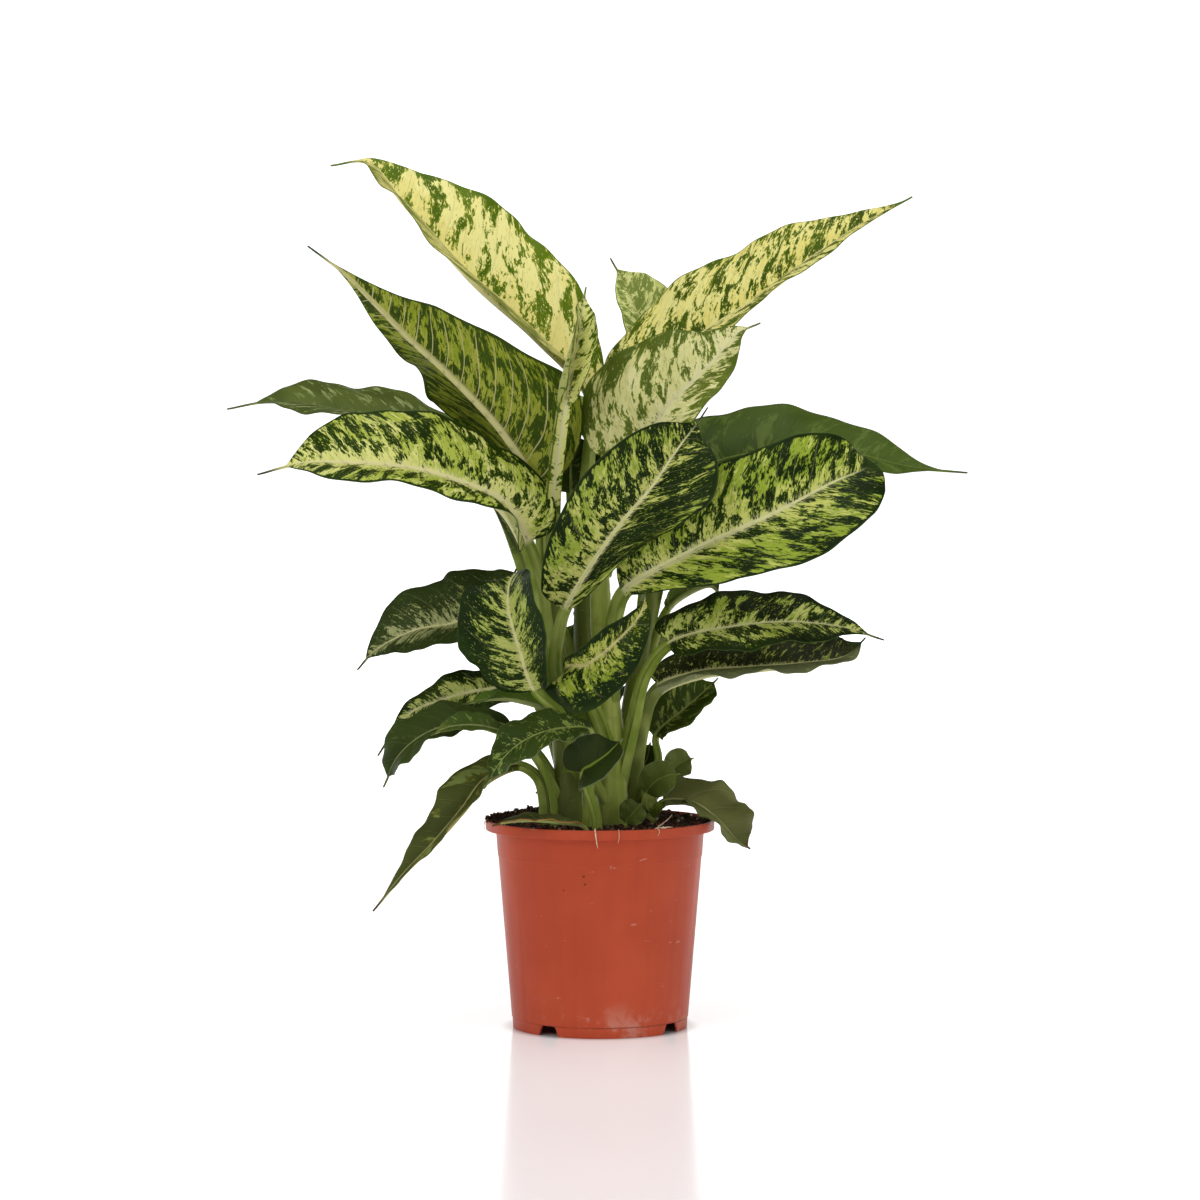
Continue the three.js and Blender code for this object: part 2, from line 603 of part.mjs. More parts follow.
// One closed skin over the rows, with the same diagonals above and below.
function skin({ top, bottom }) {
  const count = top[0].length;
  const rows = top.length;
  const points = [...top.flat(), ...bottom.flat()];
  const upper = (i, j) => i * count + j;
  const lower = (i, j) => rows * count + i * count + j;
  const triangles = [];
  for (let i = 0; i < rows - 1; i += 1) {
    for (let j = 0; j < count - 1; j += 1) {
      triangles.push([upper(i, j), upper(i, j + 1), upper(i + 1, j + 1)]);
      triangles.push([upper(i, j), upper(i + 1, j + 1), upper(i + 1, j)]);
      triangles.push([lower(i, j), lower(i + 1, j + 1), lower(i, j + 1)]);
      triangles.push([lower(i, j), lower(i + 1, j), lower(i + 1, j + 1)]);
    }
    const edge = count - 1;
    triangles.push([upper(i, 0), upper(i + 1, 0), lower(i + 1, 0)]);
    triangles.push([upper(i, 0), lower(i + 1, 0), lower(i, 0)]);
    triangles.push([upper(i, edge), lower(i + 1, edge), upper(i + 1, edge)]);
    triangles.push([upper(i, edge), lower(i, edge), lower(i + 1, edge)]);
  }
  const end = rows - 1;
  for (let j = 0; j < count - 1; j += 1) {
    triangles.push([upper(0, j), lower(0, j), lower(0, j + 1)]);
    triangles.push([upper(0, j), lower(0, j + 1), upper(0, j + 1)]);
    triangles.push([upper(end, j), upper(end, j + 1), lower(end, j + 1)]);
    triangles.push([upper(end, j), lower(end, j + 1), lower(end, j)]);
  }
  return solidFrom(points, triangles);
}

// The pot's section from its centre foot, round the skirt and rim, and back along the inside.
function potSolid() {
  const { height, rimRadius, rimHeight, neckRadius, footRadius } = POT;
  const { skirtHeight, skirtStep, floorUnderside, wall } = POT;
  const rimFloor = height - rimHeight;
  const floorTop = floorUnderside + wall;
  const section = [
    [0, 0],
    [POT.centreFootRadius, 0],
    [POT.centreFootRadius, floorUnderside],
    [footRadius - 2 * wall, floorUnderside],
    [footRadius - wall, 0],
    [footRadius, 0],
    [footRadius + 0.5, skirtHeight],
    [footRadius + skirtStep + 0.5, skirtHeight + 0.8],
    [neckRadius, rimFloor - 0.6],
    [rimRadius - 0.6, rimFloor],
    [rimRadius, rimFloor + 0.8],
    [rimRadius, height - 1],
    [rimRadius - 0.8, height],
    [rimRadius - wall - 0.4, height],
    [rimRadius - wall - 0.8, height - 1],
    [rimRadius - wall - 1, rimFloor + wall + 0.6],
    [neckRadius - wall, rimFloor + wall - 0.6],
    [footRadius + skirtStep - wall, floorTop + 2],
    [footRadius - 2 * wall, floorTop],
    [0, floorTop],
  ];
  const profile = section.map(([radius, z]) => new THREE.Vector2(radius, z));
  const turned = new THREE.LatheGeometry(profile, POT.segments);
  turned.rotateX(Math.PI / 2);
  let pot = solidOf(turned);
  for (let i = 0; i < DRAIN.count; i += 1) {
    const angle = (2 * Math.PI * (i + 0.5)) / DRAIN.count;
    const hole = new THREE.CylinderGeometry(DRAIN.radius, DRAIN.radius, 6 * wall, DRAIN.sides);
    hole.rotateX(Math.PI / 2);
    hole.translate(DRAIN.ringRadius * Math.cos(angle), DRAIN.ringRadius * Math.sin(angle), floorUnderside);
    pot = pot.subtract(solidOf(hole));
  }
  const { widthBottom, widthTop, height: notchHeight } = NOTCH;
  const outline = new THREE.Shape([
    new THREE.Vector2(-widthBottom / 2, -1),
    new THREE.Vector2(widthBottom / 2, -1),
    new THREE.Vector2(widthTop / 2, notchHeight),
    new THREE.Vector2(-widthTop / 2, notchHeight),
  ]);
  for (let i = 0; i < NOTCH.count; i += 1) {
    const notch = new THREE.ExtrudeGeometry(outline, { depth: 12, bevelEnabled: false });
    notch.rotateX(Math.PI / 2);
    notch.translate(0, -footRadius + 8, 0);
    notch.rotateZ(radians(NOTCH.firstAngle + (360 * i) / NOTCH.count));
    pot = pot.subtract(solidOf(notch));
  }
  return pot;
}

// Height of the soil: tilted up to the back, with a mound at the back left and low lumps. Mound and
// lumps fade towards the wall.
function soilHeight(x, y) {
  const edge = (Math.hypot(x, y) / soilRadius) ** 14;
  const far = (x - SOIL.moundX) ** 2 + (y - SOIL.moundY) ** 2;
  const mound = SOIL.moundHeight * Math.exp(-far / (2 * SOIL.moundSpread ** 2)) * (1 - 0.6 * edge);
  const lumps = Math.sin(x * 0.21 + 1) * Math.cos(y * 0.17) + 0.6 * Math.sin(x * 0.37 - y * 0.31);
  return SOIL.level + (SOIL.tilt * y) / soilRadius + mound + SOIL.lump * lumps * (1 - 0.7 * edge);
}

// The soil fills the pot and covers the ledge inside its rim, with a plain hole round each stem.
function soilSolid(stems) {
  const { height, rimHeight, neckRadius, footRadius, skirtStep, floorUnderside, wall } = POT;
  const low = floorUnderside + wall + SOIL.bottomGap;
  const ledge = height - rimHeight + wall - 0.6 + SOIL.wallGap;
  const lowRadius = footRadius - 2 * wall - SOIL.wallGap;
  const bevelRadius = footRadius + skirtStep - wall - SOIL.wallGap - 0.5;
  const wallRadius = neckRadius - wall - SOIL.wallGap - 0.6;
  const levels = [
    { radius: lowRadius, z: low },
    { radius: bevelRadius, z: low + 2.6 },
    { radius: wallRadius, z: ledge },
    { radius: soilRadius, z: ledge + 1.4 },
    ...[...SOIL.rings, soilRadius].reverse().map((radius) => ({ radius, z: null })),
  ];
  const points = [];
  const triangles = [];
  levels.forEach(({ radius, z }, i) => {
    for (let k = 0; k < SOIL.segments; k += 1) {
      const angle = (2 * Math.PI * k) / SOIL.segments;
      const x = radius * Math.cos(angle);
      const y = radius * Math.sin(angle);
      points.push(new THREE.Vector3(x, y, z ?? soilHeight(x, y)));
      if (i === 0) continue;
      const next = (k + 1) % SOIL.segments;
      const below = (i - 1) * SOIL.segments;
      const above = i * SOIL.segments;
      triangles.push([below + k, below + next, above + next], [below + k, above + next, above + k]);
    }
  });
  const bottom = points.push(new THREE.Vector3(0, 0, low)) - 1;
  const top = points.push(new THREE.Vector3(0, 0, soilHeight(0, 0))) - 1;
  const last = (levels.length - 1) * SOIL.segments;
  for (let k = 0; k < SOIL.segments; k += 1) {
    const next = (k + 1) % SOIL.segments;
    triangles.push([bottom, next, k], [top, last + k, last + next]);
  }
  let soil = solidFrom(points, triangles);
  for (const stem of stems) soil = soil.subtract(stem);
  return largestBody(soil);
}

const plant = new THREE.Group();

function addNode(name, solid, color, roughness) {
  const material = new THREE.MeshStandardMaterial({ color, roughness, metalness: 0 });
  const mesh = new THREE.Mesh(geometryOf(solid), material);
  mesh.name = name;
  plant.add(mesh);
}

const overlaps = (a, b) => {
  const boxA = a.boundingBox();
  const boxB = b.boundingBox();
  return [0, 1, 2].every((k) => boxA.min[k] < boxB.max[k] && boxB.min[k] < boxA.max[k]);
};

// A solid cut clear of those that it meets.
function clearOf(solid, others) {
  const meeting = others.filter((other) => overlaps(solid, other));
  if (!meeting.length) return solid;
  return largestBody(meeting.reduce((rest, other) => rest.subtract(other), solid));
}

addNode('pot', potSolid(), TERRACOTTA, 0.42);

const standing = [];
const keepClear = [];
for (const [name, cane] of Object.entries(CANES)) {
  addNode(name, caneSolid(cane), CANE_GREEN, 0.5);
  const wider = caneSolid(cane, GAP);
  keepClear.push(wider);
  standing.push(wider);
}

const leafColours = [0.3, 0.22, 0.38, 0.26, 0.34];
Object.entries(LEAVES).forEach(([name, entry], i) => {
  const leaf = { ...TYPICAL, ...entry };
  const solid = clearOf(skin(leafRows(leaf)), keepClear);
  const green = leafColours[i % leafColours.length];
  addNode(name, solid, new THREE.Color(green * 0.5, green, green * 0.22), 0.45);
  const stalk = skin(leafRows(leaf, { stalkOnly: true, grow: GAP }));
  keepClear.push(stalk);
  if (!leaf.cane) standing.push(stalk);
});

addNode('soil', soilSolid(standing), PEAT, 0.95);

export default plant;
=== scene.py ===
# %% [markdown]
# # A potted dieffenbachia
# A dieffenbachia is a bundle of upright canes, each carrying broad leaves on fleshy stalks. This one
# stands in a plastic nursery pot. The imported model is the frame: it says where every piece is. Each piece
# here is worked out again from the same sizes on a much finer grid, so it lies where its plain solid lies
# and can carry veins, waves and markings that the solid leaves out.

# %% Load the frame
import math
import bpy
import numpy as np
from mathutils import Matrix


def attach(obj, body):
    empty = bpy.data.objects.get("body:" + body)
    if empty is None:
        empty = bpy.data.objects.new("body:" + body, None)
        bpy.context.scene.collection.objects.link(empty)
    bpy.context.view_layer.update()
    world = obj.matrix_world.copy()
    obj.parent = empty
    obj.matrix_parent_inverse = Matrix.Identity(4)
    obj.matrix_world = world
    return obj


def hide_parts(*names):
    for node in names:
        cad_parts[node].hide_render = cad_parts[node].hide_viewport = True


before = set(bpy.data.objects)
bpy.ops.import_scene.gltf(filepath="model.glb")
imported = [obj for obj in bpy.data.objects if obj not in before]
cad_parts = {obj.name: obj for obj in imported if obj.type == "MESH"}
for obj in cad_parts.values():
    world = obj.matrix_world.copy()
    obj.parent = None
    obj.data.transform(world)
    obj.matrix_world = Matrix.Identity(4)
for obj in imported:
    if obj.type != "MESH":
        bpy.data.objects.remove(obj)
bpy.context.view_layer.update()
MM = 0.001
print("nodes in the frame:", len(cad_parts))

# %% [markdown]
# ## Camera, floor and light
# The photograph was taken from about three metres away, a little above the plant's middle and looking
# slightly down, so the pot's rim shows as a thin ellipse. A long lens keeps the leaves from looking
# stretched. The floor and the wall are one pale dish with no corner, as in a product studio, so no
# horizon line crosses the picture. Large area lights stand in for soft boxes: the biggest on the upper
# left gives the pot its lighter left side.

# %% Camera
CAMERA_DISTANCE = 3.2
CAMERA_HEIGHT = 0.490
CAMERA_PITCH = math.radians(2.441)
FRAME_PIXELS = 1200
FOCAL_PIXELS = 3876
SENSOR = 36.0

camera_data = bpy.data.cameras.new("camera")
camera_data.sensor_width = SENSOR
camera_data.lens = SENSOR * FOCAL_PIXELS / FRAME_PIXELS
camera = bpy.data.objects.new("camera", camera_data)
camera.location = (0, -CAMERA_DISTANCE, CAMERA_HEIGHT)
camera.rotation_euler = (math.pi / 2 - CAMERA_PITCH, 0, 0)
bpy.context.collection.objects.link(camera)
bpy.context.scene.camera = camera
bpy.context.scene.view_settings.view_transform = "Standard"
print("lens in mm:", round(camera_data.lens, 1))


# %% Colours and node helpers
def linear(red, green, blue):
    """A colour given as 0 to 255 screen values, turned into the linear light values that shaders use."""
    screen = np.array([red, green, blue]) / 255
    low = screen / 12.92
    high = ((screen + 0.055) / 1.055) ** 2.4
    return (*np.where(screen <= 0.04045, low, high), 1.0)


class Paint:
    """A new material and short ways to add nodes to it. Every method returns the new node's output."""

    def __init__(self, name):
        self.material = bpy.data.materials.new(name)
        self.material.use_nodes = True
        self.tree = self.material.node_tree
        self.shader = self.tree.nodes["Principled BSDF"]

    def node(self, kind, inputs, **settings):
        made = self.tree.nodes.new(kind)
        for key, value in settings.items():
            setattr(made, key, value)
        for key, value in inputs.items():
            self.put(made.inputs[key], value)
        return made

    def put(self, socket, value):
        if isinstance(value, bpy.types.NodeSocket):
            self.tree.links.new(value, socket)
        else:
            socket.default_value = value

    def math(self, operation, a, b=0.0, c=0.0):
        return self.node("ShaderNodeMath", {0: a, 1: b, 2: c}, operation=operation).outputs[0]

    def times(self, a, b):
        return self.math("MULTIPLY", a, b)

    def step(self, value, start, end, low=0.0, high=1.0):
        """A soft step: low before start, high after end."""
        values = {"Value": value, "From Min": start, "From Max": end, "To Min": low, "To Max": high}
        return self.node("ShaderNodeMapRange", values, interpolation_type="SMOOTHSTEP").outputs[0]

    def blend(self, share, first, second, kind="MIX"):
        made = self.node("ShaderNodeMix", {0: share, 6: first, 7: second}, data_type="RGBA", blend_type=kind)
        return made.outputs[2]

    def parts(self, vector):
        return self.node("ShaderNodeSeparateXYZ", {0: vector}).outputs

    def joined(self, x, y, z):
        return self.node("ShaderNodeCombineXYZ", {0: x, 1: y, 2: z}).outputs[0]

    def attribute(self, name):
        return self.node("ShaderNodeAttribute", {}, attribute_name=name).outputs["Vector"]

    def place(self):
        return self.node("ShaderNodeTexCoord", {}).outputs["Object"]

    def noise(self, vector, scale, detail=3.0, roughness=0.55, distortion=0.0):
        values = {"Vector": vector, "Scale": scale, "Detail": detail, "Roughness": roughness,
                  "Distortion": distortion}
        return self.node("ShaderNodeTexNoise", values).outputs[0]

    def cells(self, vector, scale, **settings):
        return self.node("ShaderNodeTexVoronoi", {"Vector": vector, "Scale": scale}, **settings).outputs[0]

    def bump(self, height, depth, strength=1.0):
        values = {"Strength": strength, "Distance": depth, "Height": height}
        self.put(self.shader.inputs["Normal"], self.node("ShaderNodeBump", values).outputs[0])

    def finish(self, color, roughness, **fixed):
        self.put(self.shader.inputs["Base Color"], color)
        self.put(self.shader.inputs["Roughness"], roughness)
        for key, value in fixed.items():
            self.shader.inputs[key.replace("_", " ")].default_value = value
        return self.material

# %% Floor, wall and lights
FLOOR_RADIUS = 6.0
TURN_RADIUS = 2.0
WALL_HEIGHT = 4.0
WALL_SIDES = 96


def dish_surface():
    """A floor that turns up into a wall, carried round: flat, then a quarter circle, then straight up."""
    turn = np.linspace(0, math.pi / 2, 24)
    radius = np.concatenate([FLOOR_RADIUS + TURN_RADIUS * np.sin(turn), [FLOOR_RADIUS + TURN_RADIUS]])
    height = np.concatenate([TURN_RADIUS * (1 - np.cos(turn)), [WALL_HEIGHT]])
    around = np.linspace(0, 2 * math.pi, WALL_SIDES, endpoint=False)
    x = radius[:, None] * np.cos(around)
    y = radius[:, None] * np.sin(around)
    z = np.repeat(height[:, None], WALL_SIDES, axis=1)
    points = np.stack([x, y, z], axis=-1).reshape(-1, 3)
    corner = np.arange(len(radius) - 1)[:, None] * WALL_SIDES
    here = np.arange(WALL_SIDES)[None, :]
    beside = (here + 1) % WALL_SIDES
    above = corner + WALL_SIDES
    walls = np.stack([corner + here, above + here, above + beside, corner + beside], axis=-1)
    return points, [list(range(WALL_SIDES)), *walls.reshape(-1, 4).tolist()]


def floor_paint():
    """Nearly white. It glows more the farther it is, as a wall with lights of its own, so that no band
    shows."""
    paint = Paint("studio_white")
    place = paint.place()
    spread = paint.noise(place, 3.0, detail=0.0)
    color = paint.blend(spread, linear(246, 246, 247), linear(250, 250, 250))
    x, y, z = paint.parts(place)
    away = paint.math("SQRT", paint.math("ADD", paint.times(x, x), paint.times(y, y)))
    far = paint.blend(paint.step(y, -3.0, 0.5), (0.42, 0.42, 0.42, 1), (0.84, 0.84, 0.84, 1))
    glow = paint.blend(paint.step(away, 0.3, 3.0), (0.30, 0.30, 0.30, 1), far)
    unlit = paint.math("MAXIMUM", paint.step(away, 0.085, 0.07), paint.step(z, 1.7, 2.5))
    glow = paint.blend(unlit, glow, (0, 0, 0, 1))
    paint.put(paint.shader.inputs["Emission Color"], glow)
    return paint.finish(color, 0.16, Specular_IOR_Level=0.35, Emission_Strength=1.0)


points, faces = dish_surface()
sweep_mesh = bpy.data.meshes.new("studio_sweep")
sweep_mesh.from_pydata(points.tolist(), [], faces)
sweep_mesh.shade_smooth()
sweep = bpy.data.objects.new("studio_sweep", sweep_mesh)
sweep.data.materials.append(floor_paint())
bpy.context.collection.objects.link(sweep)


def soft_box(name, place, target, size, watts):
    """A square area light of that size in metres, turned to face target."""
    data = bpy.data.lights.new(name, "AREA")
    data.size = size
    data.energy = watts
    light = bpy.data.objects.new(name, data)
    light.location = place
    aim = np.array(target) - np.array(place)
    flat = math.hypot(aim[0], aim[1])
    light.rotation_euler = (math.atan2(flat, -aim[2]), 0, math.atan2(aim[1], aim[0]) - math.pi / 2)
    bpy.context.collection.objects.link(light)
    return light


PLANT_MIDDLE = (0, 0, 0.4)
soft_box("key_left", (-1.5, -2.4, 2.2), PLANT_MIDDLE, 1.6, 25)
soft_box("fill_right", (2.2, -2.1, 1.6), PLANT_MIDDLE, 1.8, 12)
soft_box("top", (0.1, -0.3, 2.9), PLANT_MIDDLE, 2.0, 32)
world = bpy.data.worlds.new("studio")
world.use_nodes = True
world.node_tree.nodes["Background"].inputs[0].default_value = (1, 1, 1, 1)
world.node_tree.nodes["Background"].inputs[1].default_value = 0.06
bpy.context.scene.world = world
print("studio: one round sweep, three soft boxes")

# %% [markdown]
# ## Meshes from grids
# Almost everything on a plant is a sheet or a tube: a surface with two directions. The shape is worked
# out for all points at once as an array with a row for each station and a column for each place across
# it. Modelling by hand or sculpting would also do, but a formula keeps forty leaves consistent with the
# solids they stand for.


# %% Grid helpers
def grid_faces(rows, columns, start=0, around=False):
    """Quads between neighbouring rows and columns of a grid whose points are numbered row by row."""
    row = np.arange(rows - 1)[:, None]
    column = np.arange(columns if around else columns - 1)[None, :]
    beside = (column + 1) % columns
    corners = (row * columns + column, row * columns + beside, (row + 1) * columns + beside,
               (row + 1) * columns + column)
    return start + np.stack(corners, axis=-1).reshape(-1, 4)


def fan_faces(ring, pole):
    """Triangles from a closed ring of point numbers to one pole."""
    return np.stack([ring, np.roll(ring, -1), np.full(len(ring), pole)], axis=1)


def add_piece(name, points, faces, paint, attributes=None, crease=None):
    """A mesh piece from points in millimetres and lists of faces, with vector attributes on its points."""
    mesh = bpy.data.meshes.new(name)
    rows = [face for group in faces for face in np.asarray(group).tolist()]
    mesh.from_pydata((np.asarray(points) * MM).tolist(), [], rows)
    for key, values in (attributes or {}).items():
        layer = mesh.attributes.new(key, "FLOAT_VECTOR", "POINT")
        layer.data.foreach_set("vector", np.asarray(values, dtype=np.float32).ravel())
    mesh.shade_smooth()
    if crease:
        mesh.set_sharp_from_angle(angle=math.radians(crease))
    piece = bpy.data.objects.new(name, mesh)
    piece.data.materials.append(paint)
    bpy.context.collection.objects.link(piece)
    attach(piece, "root")
    return piece


def unit(vectors):
    return vectors / np.linalg.norm(vectors, axis=-1, keepdims=True)


def smooth_path(points, per_span=24):
    """Points on a centripetal Catmull-Rom curve: it passes through each given point, and its speed at a
    point comes from the neighbours, weighted by the square root of their distances."""
    points = np.asarray(points, dtype=float)
    ends = np.vstack([2 * points[0] - points[1], points, 2 * points[-1] - points[-2]])
    spans = []
    for before, start, end, after in zip(ends, ends[1:], ends[2:], ends[3:]):
        pairs = ((before, start), (start, end), (end, after))
        gaps = [max(1e-3, np.linalg.norm(b - a)) ** 0.5 for a, b in pairs]
        leave = (start - before) / gaps[0] - (end - before) / (gaps[0] + gaps[1]) + (end - start) / gaps[1]
        arrive = (end - start) / gaps[1] - (after - start) / (gaps[1] + gaps[2]) + (after - end) / gaps[2]
        leave = leave * gaps[1]
        arrive = arrive * gaps[1]
        share = np.linspace(0, 1, per_span, endpoint=False)[:, None]
        square = -3 * start + 3 * end - 2 * leave - arrive
        cube = 2 * start - 2 * end + leave + arrive
        spans.append(start + leave * share + square * share ** 2 + cube * share ** 3)
    return np.vstack([*spans, points[-1:]])


def lengths_along(path):
    steps = np.linalg.norm(np.diff(path, axis=0), axis=1)
    return np.concatenate([[0], np.cumsum(steps)])


def at_lengths(path, lengths, wanted):
    return np.stack([np.interp(wanted, lengths, path[:, axis]) for axis in range(3)], axis=-1)

# %% [markdown]
# ## Where canes and leaves grow
# These are the sizes that shape the plant, in millimetres. A cane is a path from inside the soil upwards.
# A leaf is one path for its stalk and one for its blade's midrib, the blade's width, the way its upper
# face looks, and how far each half folds up from flat. The photograph gives each path's height and
# sideways place; how far it leans towards the camera was chosen so that what hides what comes out as in
# the picture.
#
# Each leaf lists only what differs from TYPICAL. The cane and start say where the stalk leaves its cane.
# The face is the way the blade's upper side looks, and fold how many degrees each half rises. The outline
# is widest at the share called wide; roundness, shoulder, taper and tail shape it before and after that.
# Lobes and sweep draw the base back and the tip forward, halves widen either side, and wave, waves and
# phase set the margin's waves.

# %% Canes and leaves in numbers
ROOT_DEPTH = 148
CANES = {
    "cane_left": dict(
        path=[(-25, -15, ROOT_DEPTH), (-27, -12, 215), (-34, -7, 285), (-40, -5, 345), (-38, -2, 410)],
        radius=(12.5, 7.5),
    ),
    "cane_centre": dict(
        path=[(10, -18, ROOT_DEPTH), (10, -14, 230), (3, -10, 300), (0, -8, 360), (-2, -5, 432)],
        radius=(13, 7),
    ),
    "cane_rear_left": dict(
        path=[(-12, 27, ROOT_DEPTH), (-13, 28, 240), (-14, 28, 319), (-15, 27, 405)],
        radius=(11.5, 6.5),
    ),
    "cane_rear_right": dict(
        path=[(24, 18, ROOT_DEPTH), (24, 22, 240), (34, 27, 310), (46, 33, 372)],
        radius=(11, 6),
    ),
    "cane_small_right": dict(
        path=[(41, 0, ROOT_DEPTH), (42, 1, 185), (44, 2, 216)],
        radius=(7, 4.5),
    ),
}
TYPICAL = dict(
    cane=None, start=0, fold=30, fold_tip=None, curl=0, face_tip=None, wide=0.42, roundness=1.6,
    shoulder=2.2, taper=1.15, tail=0.07, lobes=[-0.3, -0.3], sweep=0.4, halves=[1, 1], wave=3, waves=3.4,
    phase=0, root_radius=6.5, rib_radius=4, small=False,
)
